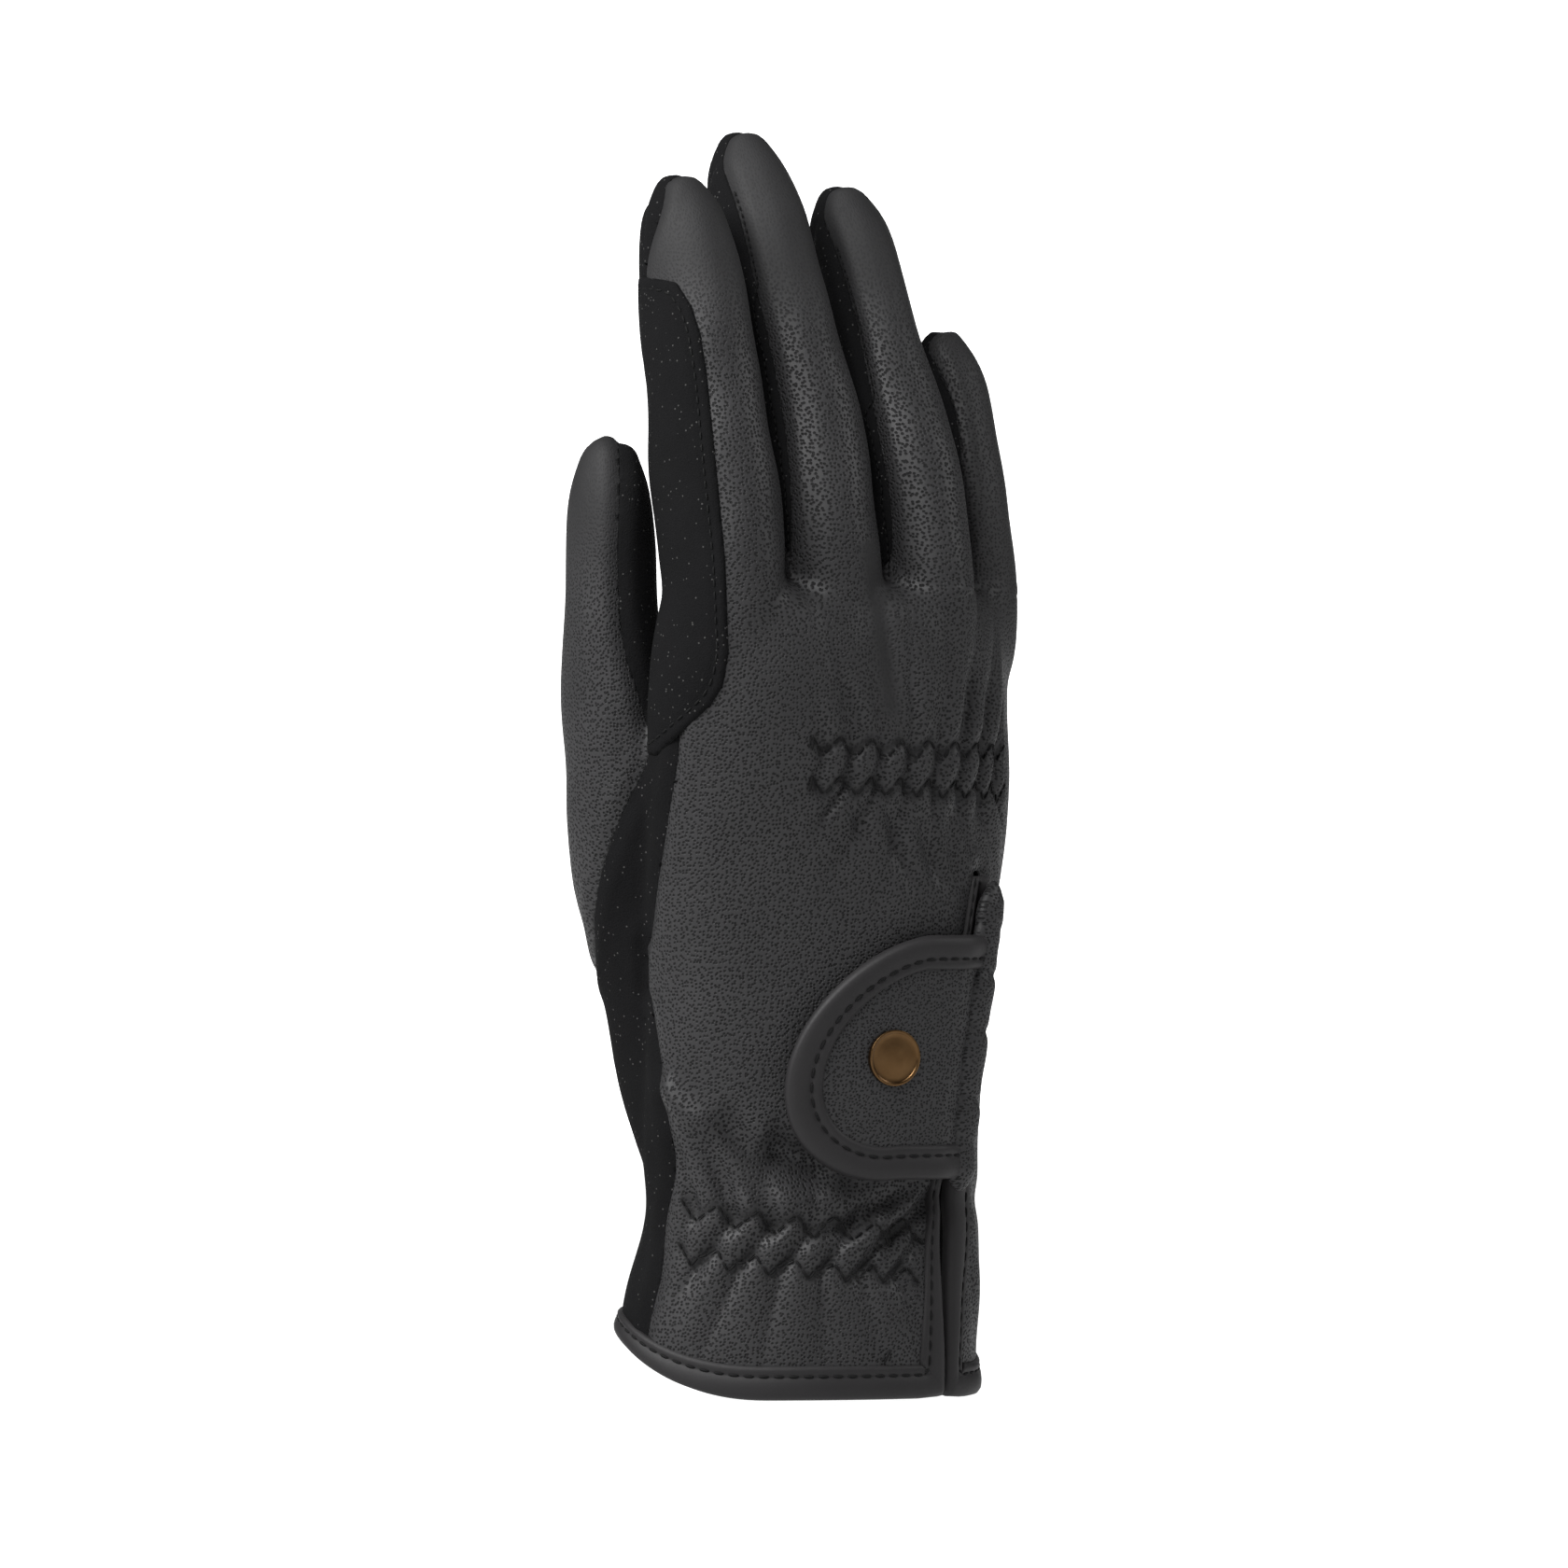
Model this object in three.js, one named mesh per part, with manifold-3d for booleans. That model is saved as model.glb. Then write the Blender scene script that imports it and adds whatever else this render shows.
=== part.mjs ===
// A right-hand riding glove, filled out as if worn, in millimetres.
// The fingers point up +Z, the back of the hand faces -Y and the thumb is on the -X side.
// The origin is the middle of the wrist opening, level with the lowest stretch of the hem.
import * as THREE from "three";
import { mergeVertices } from "three/addons/utils/BufferGeometryUtils.js";
import Module from "manifold-3d";

const wasm = await Module();
wasm.setup();

// Hand and cuff
const PALM_HEIGHT = 157;
const PALM_BREADTH = 82.5;
const PALM_DEPTH = 30;
const KNUCKLE_ACROSS = 6.3;
const KNUCKLE_FORWARD = 12;
const ULNAR_ARCH = 16;
const RADIAL_ARCH = 2;
const WRIST_TURN = 14;
const HEM_RISE = 13;
const WALL = 1.4;

// Fingers start inside the knuckles, this far below the top of the palm. Their length is taken from there
const FINGER_OVERLAP = 25;
const FINGER_ROOT = PALM_HEIGHT - FINGER_OVERLAP;
const FINGERS = {
  index: { length: 104, breadth: 21.4, depth: 28.2, across: -22.4, forward: 11, curl: 17.5, lean: 0.2 },
  middle: { length: 113, breadth: 21.4, depth: 28.6, across: -0.8, forward: 12.4, curl: 30.5, lean: -0.6 },
  ring: { length: 102, breadth: 20.6, depth: 26.8, across: 21, forward: 12.8, curl: 29.5, lean: -0.5 },
  little: { length: 75, breadth: 18, depth: 20.4, across: 38.8, forward: 1.8, curl: 10, lean: -1 },
};

// Thumb
const THUMB_ROOT = 42;
const THUMB_LENGTH = 143;
const THUMB_BREADTH = 20;
const THUMB_DEPTH = 21.6;
const THUMB_OUT = 34.6;
const THUMB_INWARD = 12;
const THUMB_CROTCH_HEIGHT = 124;
const THUMB_SEAM_TILT = 25;
const THUMB_SEAM_LEAN = 4.3;

// Vent, binding, tab and badge
const VENT_ANGLE = 44;
const VENT_TOP = 101;
const VENT_TOP_GAP = 1.2;
const VENT_HEM_GAP = 3.4;
const BINDING_WIDTH = 5.6;
const BINDING_SKIN = 0.9;
const LIP_DROP = 0.4;
const TAB_HEIGHT = 45;
const TAB_MIDDLE = 65;
const TAB_STRAIGHT = 14.5;
const TAB_ROUND = 21;
const TAB_DROOP = 3;
const TAB_THICKNESS = 1.8;
const PAD_MARGIN = 1.2;
const FOLD_WIDTH = 4.6;
const FOLD_THICKNESS = 2.6;
const BADGE_RADIUS = 5.4;
const BADGE_THICKNESS = 1.2;
const BADGE_RIM = 0.6;
const BADGE_REACH = 17.8;
const PATCH_THICKNESS = 0.9;
const PATCH_BACK = -19;

// Gap between pieces that touch
const GAP = 0.3;

// The outline of the back is drawn as seen from this far round towards the thumb
const VIEW_TURN = THREE.MathUtils.degToRad(30);

const LEATHER = { color: 0x2e2e31, roughness: 0.55, metalness: 0 };
const SUEDE = { color: 0x151516, roughness: 0.95, metalness: 0 };
const BINDING = { color: 0x2a2a2c, roughness: 0.6, metalness: 0 };
const BRONZE = { color: 0x7a5526, roughness: 0.35, metalness: 1 };
const PAD = { color: 0x101011, roughness: 1, metalness: 0 };

// Turns a table of rows into objects with the column names
function table(columns, rows) {
  return rows.map((row) => Object.fromEntries(columns.map((name, i) => [name, row[i]])));
}

// Hand sections from hem to crotch. height: share of PALM_HEIGHT. breadth, depth: shares of PALM_BREADTH
// and PALM_DEPTH. across, forward, arch and turn: shares of their knuckle, arch and wrist values.
const PALM_SECTIONS = table(
  ["height", "breadth", "depth", "across", "forward", "arch", "turn", "square"],
  [
    [0.0, 0.855, 1.6, 0.0, 0.0, 0.0, 1.0, 2.0],
    [0.08, 0.835, 1.54, 0.07, 0.04, 0.0, 1.0, 2.0],
    [0.21, 0.79, 1.33, 0.24, 0.21, 0.0, 1.0, 2.0],
    [0.31, 0.803, 1.3, 0.21, 0.25, 0.02, 0.92, 2.05],
    [0.41, 0.828, 1.27, 0.21, 0.37, 0.06, 0.8, 2.1],
    [0.51, 0.858, 1.23, 0.31, 0.5, 0.16, 0.64, 2.15],
    [0.61, 0.895, 1.18, 0.45, 0.62, 0.32, 0.46, 2.2],
    [0.7, 0.937, 1.13, 0.63, 0.75, 0.52, 0.28, 2.25],
    [0.8, 0.976, 1.08, 0.82, 0.88, 0.78, 0.12, 2.45],
    [0.89, 0.998, 1.04, 0.94, 0.97, 0.96, 0.02, 2.6],
    [0.955, 1.0, 0.97, 1.0, 1.0, 1.0, 0.0, 2.6],
    [0.985, 0.97, 0.78, 1.0, 1.0, 1.0, 0.0, 2.5],
    [1.0, 0.9, 0.42, 1.0, 1.0, 1.0, 0.0, 2.3],
  ],
);

// Finger sections from root to tip, as shares of each finger's own length, curl, breadth and depth
const FINGER_SECTIONS = table(
  ["height", "curl", "breadth", "depth"],
  [
    [0.0, 0.0, 0.55, 0.4],
    [0.14, 0.0, 0.93, 0.88],
    [0.25, 0.03, 1.0, 1.0],
    [0.38, 0.14, 0.99, 0.98],
    [0.5, 0.29, 0.97, 0.95],
    [0.6, 0.44, 0.95, 0.93],
    [0.7, 0.6, 0.92, 0.9],
    [0.79, 0.75, 0.87, 0.85],
    [0.87, 0.87, 0.79, 0.77],
    [0.93, 0.96, 0.65, 0.63],
    [0.97, 1.01, 0.43, 0.42],
    [0.992, 1.04, 0.24, 0.24],
    [1.0, 1.05, 0.0, 0.0],
  ],
);

// Thumb sections from the ball of the thumb to the tip, as shares of the thumb's own values
const THUMB_SECTIONS = table(
  ["height", "out", "inward", "breadth", "depth"],
  [
    [0.0, 0.376, 0.42, 1.6, 0.74],
    [0.091, 0.434, 0.75, 1.65, 1.11],
    [0.161, 0.506, 0.96, 1.57, 1.16],
    [0.266, 0.6, 1.08, 1.5, 1.28],
    [0.371, 0.74, 1.1, 1.41, 1.29],
    [0.476, 0.86, 1.08, 1.26, 1.2],
    [0.58, 0.955, 1.02, 1.07, 1.08],
    [0.692, 1.0, 1.0, 0.99, 1.0],
    [0.797, 1.0, 1.0, 0.92, 0.93],
    [0.86, 1.0, 1.0, 0.85, 0.87],
    [0.916, 1.0, 1.02, 0.74, 0.77],
    [0.958, 1.0, 1.03, 0.56, 0.59],
    [0.986, 1.0, 1.04, 0.35, 0.37],
    [1.0, 1.0, 1.05, 0.0, 0.0],
  ],
);

// Seam between the leather back and the suede on the thumb side: height is a share of the glove's length,
// left is how far left of the hem's middle it runs in the turned view, as a share of PALM_BREADTH
const BACK_SEAM = table(
  ["height", "left"],
  [
    [-0.05, 0.35],
    [0.05, 0.344],
    [0.1, 0.316],
    [0.14, 0.31],
    [0.18, 0.288],
    [0.24, 0.312],
    [0.32, 0.353],
    [0.38, 0.34],
    [0.45, 0.31],
    [0.52, 0.277],
    [0.6, 0.31],
    [0.7, 0.335],
    [0.82, 0.345],
    [0.89, 0.36],
    [0.95, 0.315],
    [1.05, 0.3],
  ],
);

// Seam on the outer side: how far it lies behind the section's middle, as a share of half its depth
const OUTER_SEAM_BACK = 0.35;

// Finger seams, as shares of half a finger's depth. inner and outer: how far in front of the finger's middle
// the leather ends on its thumb side and its other side. palm: how far behind it the palm's suede starts
const FINGER_SEAMS = table(
  ["height", "inner", "outer", "palm"],
  [
    [0.0, 0.0, 0.0, 0.0],
    [0.14, 0.02, 0.02, 0.02],
    [0.2, 0.45, 0.05, 0.4],
    [0.27, 0.62, 0.0, 0.62],
    [0.8, 0.62, 0.0, 0.62],
    [0.9, 0.45, 0.05, 0.35],
    [0.96, 0.1, 0.1, 0.0],
    [1.0, 0.08, 0.08, -0.08],
  ],
);

// Thumb seam between leather and suede: left of the hem's middle in the turned view, share of THUMB_OUT
const THUMB_SEAM = table(
  ["height", "left"],
  [
    [0.0, 0.798],
    [0.564, 0.798],
    [0.594, 0.818],
    [0.657, 0.884],
    [0.706, 0.948],
    [0.769, 0.983],
    [0.832, 0.994],
    [0.935, 0.988],
    [1.05, 1.0],
  ],
);

// Index patch outline in the turned view. left: share of PALM_BREADTH. height: share of the glove's length
const PATCH_OUTLINE = table(
  ["left", "height"],
  [
    [0.55, 0.9],
    [0.367, 0.881],
    [0.286, 0.876],
    [0.248, 0.857],
    [0.226, 0.835],
    [0.212, 0.805],
    [0.193, 0.747],
    [0.168, 0.658],
    [0.16, 0.585],
    [0.173, 0.559],
    [0.198, 0.545],
    [0.231, 0.534],
    [0.264, 0.524],
    [0.32, 0.505],
    [0.55, 0.5],
  ],
);

// Gathers over the elastic rows. height, above, below: shares of PALM_HEIGHT. depth: millimetres.
// from, to: angles on the section in degrees, with the back of the hand at -90
const FOLD_TURN = 10.4;
const GATHER_START = -160;
const GATHER_END = -14.4;
const COARSE_TURN = 20.5;
const WRIST_FOLD_DEPTH = 1.5;
const KNUCKLE_FOLD_DEPTH = 0.9;
const GATHERS = [
  { height: 0.205, above: 0.075, below: 0.15, from: -158, to: -66, depth: WRIST_FOLD_DEPTH },
  { height: 0.8, above: 0.16, below: 0.12, from: -96, to: -20, depth: KNUCKLE_FOLD_DEPTH },
];

const GLOVE_LENGTH = FINGER_ROOT + FINGERS.middle.length;
const bindingOut = GAP + BINDING_SKIN;
const radians = THREE.MathUtils.degToRad;

// Reads a table at a height, with a smooth curve through its rows
function lookUp(rows, height) {
  const last = rows.length - 1;
  let i = 0;
  while (i < last - 1 && height > rows[i + 1].height) {
    i += 1;
  }
  const before = rows[Math.max(i - 1, 0)];
  const low = rows[i];
  const high = rows[i + 1];
  const after = rows[Math.min(i + 2, last)];
  const span = high.height - low.height;
  const t = THREE.MathUtils.clamp((height - low.height) / span, 0, 1);
  const result = {};
  for (const key of Object.keys(low)) {
    const slopeLow = ((high[key] - before[key]) / (high.height - before.height)) * span;
    const slopeHigh = ((after[key] - low[key]) / (after.height - low.height)) * span;
    const change = high[key] - low[key];
    const bend = t * (1 - t) * ((slopeLow - change) * (1 - t) - (slopeHigh - change) * t);
    result[key] = low[key] + change * t + bend;
  }
  return result;
}

// Depth of the gathers at a place on the back, and how strongly they gather there
function gatherAt(angle, rise) {
  let wave = 0;
  let pull = 0;
  for (const gather of GATHERS) {
    const offset = rise / PALM_HEIGHT - gather.height;
    const reach = offset > 0 ? gather.above : gather.below;
    const along = Math.max(0, 1 - (offset / reach) ** 2);
    const middle = radians((gather.from + gather.to) / 2);
    const half = radians((gather.to - gather.from) / 2);
    const across = Math.max(0, 1 - ((angle - middle) / half) ** 6);
    const phase = (angle - radians(GATHER_START)) / radians(FOLD_TURN);
    wave += 0.5 * gather.depth * along * across * Math.cos(2 * Math.PI * phase);
    pull += 0.5 * gather.depth * along * across;
  }
  return { wave, pull };
}

// A point on the hand, at an angle round its section and a rise above the hem, this far off its surface
function palmPoint(angle, rise, outward, gathered = false) {
  const row = lookUp(PALM_SECTIONS, rise / PALM_HEIGHT);
  const gather = gathered ? gatherAt(angle, rise) : { wave: 0, pull: 0 };
  const off = outward + gather.wave;
  const halfBreadth = (row.breadth * PALM_BREADTH) / 2 + off;
  const halfDepth = (row.depth * PALM_DEPTH) / 2 + off;
  const power = 2 / row.square;
  const cos = Math.cos(angle);
  const sin = Math.sin(angle);
  const shareX = Math.sign(cos) * Math.abs(cos) ** power;
  const shareY = Math.sign(sin) * Math.abs(sin) ** power;
  const arch = (shareX > 0 ? ULNAR_ARCH : RADIAL_ARCH) * row.arch * shareX ** 2;
  const turn = -radians(WRIST_TURN * row.turn);
  const x = shareX * halfBreadth;
  const y = shareY * halfDepth + arch;
  const fade = Math.max(0, 1 - rise / (0.3 * PALM_HEIGHT)) ** 1.5;
  const round = (1 - Math.cos(angle - radians(-70))) / 2;
  const lift = HEM_RISE * fade * THREE.MathUtils.smoothstep(round, 0.12, 0.85);
  return new THREE.Vector3(
    x * Math.cos(turn) - y * Math.sin(turn) + row.across * KNUCKLE_ACROSS,
    x * Math.sin(turn) + y * Math.cos(turn) - row.forward * KNUCKLE_FORWARD,
    rise + lift + bindingOut * (1 - rise / PALM_HEIGHT),
  );
}

// Middle and half sizes of a finger at a share of its length
function fingerSection(finger, share) {
  const row = lookUp(FINGER_SECTIONS, share);
  return {
    x: finger.across + finger.lean * share,
    y: finger.curl * row.curl - finger.forward,
    halfBreadth: (row.breadth * finger.breadth) / 2,
    halfDepth: (row.depth * finger.depth) / 2,
  };
}

// Middle and half sizes of the thumb at a share of its length
function thumbSection(share) {
  const row = lookUp(THUMB_SECTIONS, share);
  return {
    x: -row.out * THUMB_OUT,
    y: row.inward * THUMB_INWARD,
    halfBreadth: (row.breadth * THUMB_BREADTH) / 2,
    halfDepth: (row.depth * THUMB_DEPTH) / 2,
  };
}

// A point in the turned view: how far right of the hem's middle, how deep, and how high
function fromView(right, deep, height = 0) {
  return new THREE.Vector3(
    right * Math.cos(VIEW_TURN) + deep * Math.sin(VIEW_TURN),
    deep * Math.cos(VIEW_TURN) - right * Math.sin(VIEW_TURN),
    height,
  );
}

// Closed surface through rings of points. tip closes the last ring to one point. The open ends are closed
// by triangles that zigzag between the first and the last point of a ring and meet in its middle
function loft(rings, tip = null) {
  const count = rings[0].length;
  const points = rings.flat();
  const faces = [];
  for (let i = 0; i < rings.length - 1; i += 1) {
    for (let j = 0; j < count; j += 1) {
      const a = i * count + j;
      const b = i * count + ((j + 1) % count);
      faces.push(a, b, b + count, a, b + count, a + count);
    }
  }
  const end = (rings.length - 1) * count;
  const cap = [];
  let low = 0;
  let high = count - 1;
  while (high - low > 1) {
    cap.push([low, low + 1, high]);
    low += 1;
    if (high - low > 1) {
      cap.push([low, high - 1, high]);
      high -= 1;
    }
  }
  for (const [a, b, c] of cap) {
    faces.push(a, c, b);
    if (!tip) {
      faces.push(end + a, end + b, end + c);
    }
  }
  if (tip) {
    points.push(tip);
    for (let j = 0; j < count; j += 1) {
      faces.push(end + j, end + ((j + 1) % count), points.length - 1);
    }
  }
  const geometry = new THREE.BufferGeometry().setFromPoints(points);
  geometry.setIndex(faces);
  return geometry;
}

// Makes a solid from a closed geometry, turned the right way out
function solid(geometry) {
  const bare = geometry.clone();
  bare.deleteAttribute("normal");
  bare.deleteAttribute("uv");
  const merged = mergeVertices(bare, 1e-4);
  const position = merged.attributes.position;
  const faces = Array.from(merged.index.array);
  const [a, b, c] = [new THREE.Vector3(), new THREE.Vector3(), new THREE.Vector3()];
  let volume = 0;
  for (let i = 0; i < faces.length; i += 3) {
    a.fromBufferAttribute(position, faces[i]);
    b.fromBufferAttribute(position, faces[i + 1]);
    c.fromBufferAttribute(position, faces[i + 2]);
    volume += a.dot(b.cross(c));
  }
  const outward = volume < 0 ? faces.reverse() : faces;
  return new wasm.Manifold(new wasm.Mesh({
    numProp: 3,
    vertProperties: new Float32Array(position.array),
    triVerts: new Uint32Array(outward),
  }));
}

// Angles round a section, close together over the gathered back
function palmAngles(fine, coarse) {
  const angles = [];
  for (let degrees = GATHER_START; degrees < GATHER_END; degrees += fine) {
    angles.push(radians(degrees));
  }
  for (let degrees = GATHER_END; degrees < GATHER_START + 360 - coarse / 2; degrees += coarse) {
    angles.push(radians(degrees));
  }
  return angles;
}

// Rises of the sections that the hand is lofted through
const OUTER_RISES = [
  0.006, 0.06, 0.12, 0.165, 0.205, 0.245, 0.29, 0.38, 0.5, 0.62, 0.7, 0.76, 0.8, 0.85, 0.9, 0.95, 0.98, 1,
];
const INNER_RISES = [-0.05, 0.05, 0.14, 0.21, 0.27, 0.37, 0.5, 0.64, 0.77, 0.88, 0.97];

function palmSolid(outward, gathered) {
  const rises = gathered ? OUTER_RISES : INNER_RISES;
  const angles = gathered ? palmAngles(FOLD_TURN / 2, COARSE_TURN) : palmAngles(18.2, 30);
  const rings = rises.map((share) => angles.map((angle) => {
    const rise = share * PALM_HEIGHT + (share === rises[rises.length - 1] ? outward : 0);
    const pull = gathered ? 0 : gatherAt(angle, rise).pull;
    return palmPoint(angle, rise, outward - pull * (outward < 0 ? 1 : 0), gathered);
  }));
  return solid(loft(rings));
}

// A finger or thumb as a lofted solid, grown outward all round
function digitSolid(section, root, length, outward, sides, shares) {
  const grown = length + outward;
  const widest = section(0.4);
  const rings = shares.map((share) => {
    const { x, y, halfBreadth, halfDepth } = section(share);
    const growX = halfBreadth * (1 + outward / widest.halfBreadth);
    const growY = halfDepth * (1 + outward / widest.halfDepth);
    return Array.from({ length: sides }, (unused, j) => {
      const angle = (2 * Math.PI * j) / sides;
      return new THREE.Vector3(
        x + growX * Math.cos(angle),
        y + growY * Math.sin(angle),
        root + share * grown,
      );
    });
  });
  const end = section(1);
  return solid(loft(rings, new THREE.Vector3(end.x, end.y, root + grown)));
}

const OUTER_SHARES = [0, 0.14, 0.3, 0.47, 0.63, 0.76, 0.865, 0.94, 0.98];
const INNER_SHARES = [0, 0.3, 0.6, 0.82, 0.93, 0.98];

function fingerSolid(finger, outward) {
  const sides = outward < 0 ? 8 : 12;
  const shares = outward < 0 ? INNER_SHARES : OUTER_SHARES;
  const section = (share) => fingerSection(finger, share);
  return digitSolid(section, FINGER_ROOT, finger.length, outward, sides, shares);
}

function thumbSolid(outward) {
  const sides = outward < 0 ? 8 : 14;
  const shares = outward < 0 ? INNER_SHARES : OUTER_SHARES;
  return digitSolid(thumbSection, THUMB_ROOT, THUMB_LENGTH, outward, sides, shares);
}

const fingers = Object.values(FINGERS);

function handSolid(outward, gathered) {
  const palm = palmSolid(outward, gathered);
  return fingers.reduce((body, finger) => body.add(fingerSolid(finger, outward)), palm);
}

// Heights at which the seam surfaces between the panels are drawn
const SEAM_HEIGHTS = [
  ...Array.from({ length: 10 }, (unused, i) => -0.1 * PALM_HEIGHT + 0.115 * i * PALM_HEIGHT),
  ...Array.from({ length: 10 }, (unused, i) => PALM_HEIGHT + (i * (GLOVE_LENGTH + 6 - PALM_HEIGHT)) / 9),
];

// Line that parts front from back at one height. side is 1 for the leather's edge, -1 for the palm's edge,
// and each edge is moved off the seam by a margin
function seamLine(height, side, margin) {
  const rise = THREE.MathUtils.clamp(height / PALM_HEIGHT, 0, 1);
  const palm = lookUp(PALM_SECTIONS, rise);
  const palmX = palm.across * KNUCKLE_ACROSS;
  const palmY = -palm.forward * KNUCKLE_FORWARD;
  const left = -lookUp(BACK_SEAM, height / GLOVE_LENGTH).left * PALM_BREADTH;
  const inFinger = height > FINGER_ROOT + 0.14 * FINGERS.index.length;
  const sections = fingers.map((finger) => {
    const share = THREE.MathUtils.clamp((height - FINGER_ROOT) / finger.length, 0, 1);
    const section = fingerSection(finger, Math.min(share, 0.99));
    const seam = lookUp(FINGER_SEAMS, share);
    const halfDepth = Math.max(section.halfDepth, 0.2 * finger.depth);
    const archY = palmY + ULNAR_ARCH * palm.arch * Math.max(0, (section.x - palmX) / (PALM_BREADTH / 2)) ** 2;
    const place = (shift) => (inFinger ? section.y + shift * halfDepth : archY);
    return {
      x: section.x,
      inner: place(side > 0 ? -seam.inner : seam.palm),
      outer: place(side > 0 ? -seam.outer : seam.palm),
      half: finger.breadth / 2,
    };
  });
  const indexShare = THREE.MathUtils.clamp((height - FINGER_ROOT) / FINGERS.index.length, 0, 0.98);
  const index = fingerSection(FINGERS.index, indexShare);
  const oval = inFinger
    ? { ...index, turn: 0 }
    : {
      x: palmX,
      y: palmY,
      halfBreadth: (palm.breadth * PALM_BREADTH) / 2,
      halfDepth: (palm.depth * PALM_DEPTH) / 2,
      turn: -radians(WRIST_TURN * palm.turn),
    };
  const middle = new THREE.Vector3(oval.x, oval.y, 0);
  const out = seenPoint(oval, left).sub(middle);
  const sideways = new THREE.Vector3(-out.y, out.x, 0).setLength(side * margin);
  const line = [
    middle.clone().addScaledVector(out, 6).add(sideways),
    middle.clone().addScaledVector(out, 0.5).add(sideways),
  ];
  const crotches = sections.slice(1).map((next, i) => {
    const before = sections[i];
    return (before.x + before.half + next.x - next.half) / 2;
  });
  sections.forEach((section, i) => {
    const first = i === 0;
    const last = i === crotches.length;
    const start = first
      ? Math.max(section.x, line[1].x + GAP)
      : Math.max(section.x - section.half, crotches[i - 1] + GAP / 2);
    const end = last ? section.x : Math.min(section.x + section.half, crotches[i] - GAP / 2);
    line.push(new THREE.Vector3(start, (first ? section.outer : section.inner) - side * margin, 0));
    line.push(new THREE.Vector3(end, (last ? section.inner : section.outer) - side * margin, 0));
  });
  const little = FINGERS.little;
  const share = THREE.MathUtils.clamp((height - FINGER_ROOT) / little.length, 0, 0.95);
  const end = fingerSection(little, share);
  const halfDepth = inFinger ? end.halfDepth : (palm.depth * PALM_DEPTH) / 2;
  const turnedEdge = -((palm.breadth * PALM_BREADTH) / 2) * Math.sin(radians(WRIST_TURN * palm.turn));
  const edgeY = inFinger ? end.y : palmY + turnedEdge + ULNAR_ARCH * palm.arch * 0.8;
  const outerY = edgeY + OUTER_SEAM_BACK * halfDepth;
  line.push(new THREE.Vector3(end.x, outerY - side * margin, 0));
  line.push(new THREE.Vector3(3 * PALM_BREADTH, outerY - side * margin, 0));
  return line;
}

// Point of an oval section that is seen this far right of the hem's middle in the turned view. Past the
// oval's outline it is the point on the outline
function seenPoint(oval, right) {
  const across = fromView(1, 0);
  const away = fromView(0, 1);
  const axes = [
    new THREE.Vector3(Math.cos(oval.turn), Math.sin(oval.turn), 0).multiplyScalar(oval.halfBreadth),
    new THREE.Vector3(-Math.sin(oval.turn), Math.cos(oval.turn), 0).multiplyScalar(oval.halfDepth),
  ];
  const middle = new THREE.Vector3(oval.x, oval.y, 0);
  const reach = Math.hypot(axes[0].dot(across), axes[1].dot(across));
  const share = THREE.MathUtils.clamp((right - middle.dot(across)) / reach, -1, 1);
  const tangent = Math.atan2(axes[1].dot(across), axes[0].dot(across));
  const spots = [1, -1].map((sign) => {
    const angle = tangent + sign * Math.acos(share);
    return middle.clone().addScaledVector(axes[0], Math.cos(angle)).addScaledVector(axes[1], Math.sin(angle));
  });
  return spots[0].dot(away) < spots[1].dot(away) ? spots[0] : spots[1];
}

// Everything on the leather's side of the seams, or on the palm's side, moved off the seams by a margin
function seamSide(side, margin) {
  const rings = SEAM_HEIGHTS.map((height) => {
    const line = seamLine(height, side, margin);
    const reach = side * 3 * PALM_BREADTH;
    const far = line.map((point) => new THREE.Vector3(point.x, -reach, 0));
    if (side < 0) {
      far[0].set(reach, reach, 0);
      far[1].set(reach, -reach, 0);
    }
    return [...line, ...far.reverse()].map((point) => point.clone().setZ(height));
  });
  return solid(loft(rings));
}

// Half of space on the side of a plane that its normal points to
function halfSpace(point, normal) {
  const size = 4 * GLOVE_LENGTH;
  const box = new THREE.BoxGeometry(size, size, size);
  box.translate(0, 0, size / 2);
  box.applyQuaternion(new THREE.Quaternion().setFromUnitVectors(new THREE.Vector3(0, 0, 1), normal));
  box.translate(point.x, point.y, point.z);
  return solid(box);
}

// Largest body of a solid, without the crumbs that a cut may leave
function mainBody(body) {
  return body.decompose().reduce((best, next) => (next.volume() > best.volume() ? next : best));
}

// Everything on the thumb's side of the thumb seam, moved off the seam by a margin. Above the crotch one plane
// leans between thumb and index finger, and below it another slants down round the ball of the thumb
function thumbSide(margin) {
  const above = 0.2 * THUMB_LENGTH;
  const thumb = thumbSection((THUMB_CROTCH_HEIGHT + above - THUMB_ROOT) / THUMB_LENGTH);
  const crotch = new THREE.Vector3(thumb.x, thumb.y, THUMB_CROTCH_HEIGHT);
  const { across, forward } = FINGERS.index;
  const away = new THREE.Vector3(thumb.x - across, thumb.y + forward, 0).normalize();
  const half = 1 / Math.hypot(away.x / thumb.halfBreadth, away.y / thumb.halfDepth);
  const lean = radians(THUMB_SEAM_LEAN);
  crotch.addScaledVector(away, -half - GAP - above * Math.tan(lean));
  const plane = (tilt) => {
    const normal = away.clone().multiplyScalar(Math.cos(tilt)).setZ(Math.sin(tilt));
    return halfSpace(crotch.clone().addScaledVector(normal, margin), normal);
  };
  const top = new THREE.Vector3(0, 0, THUMB_ROOT + THUMB_LENGTH + GAP);
  const belowTop = halfSpace(top, new THREE.Vector3(0, 0, -1));
  return plane(-lean).intersect(plane(radians(THUMB_SEAM_TILT))).intersect(belowTop);
}

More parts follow.
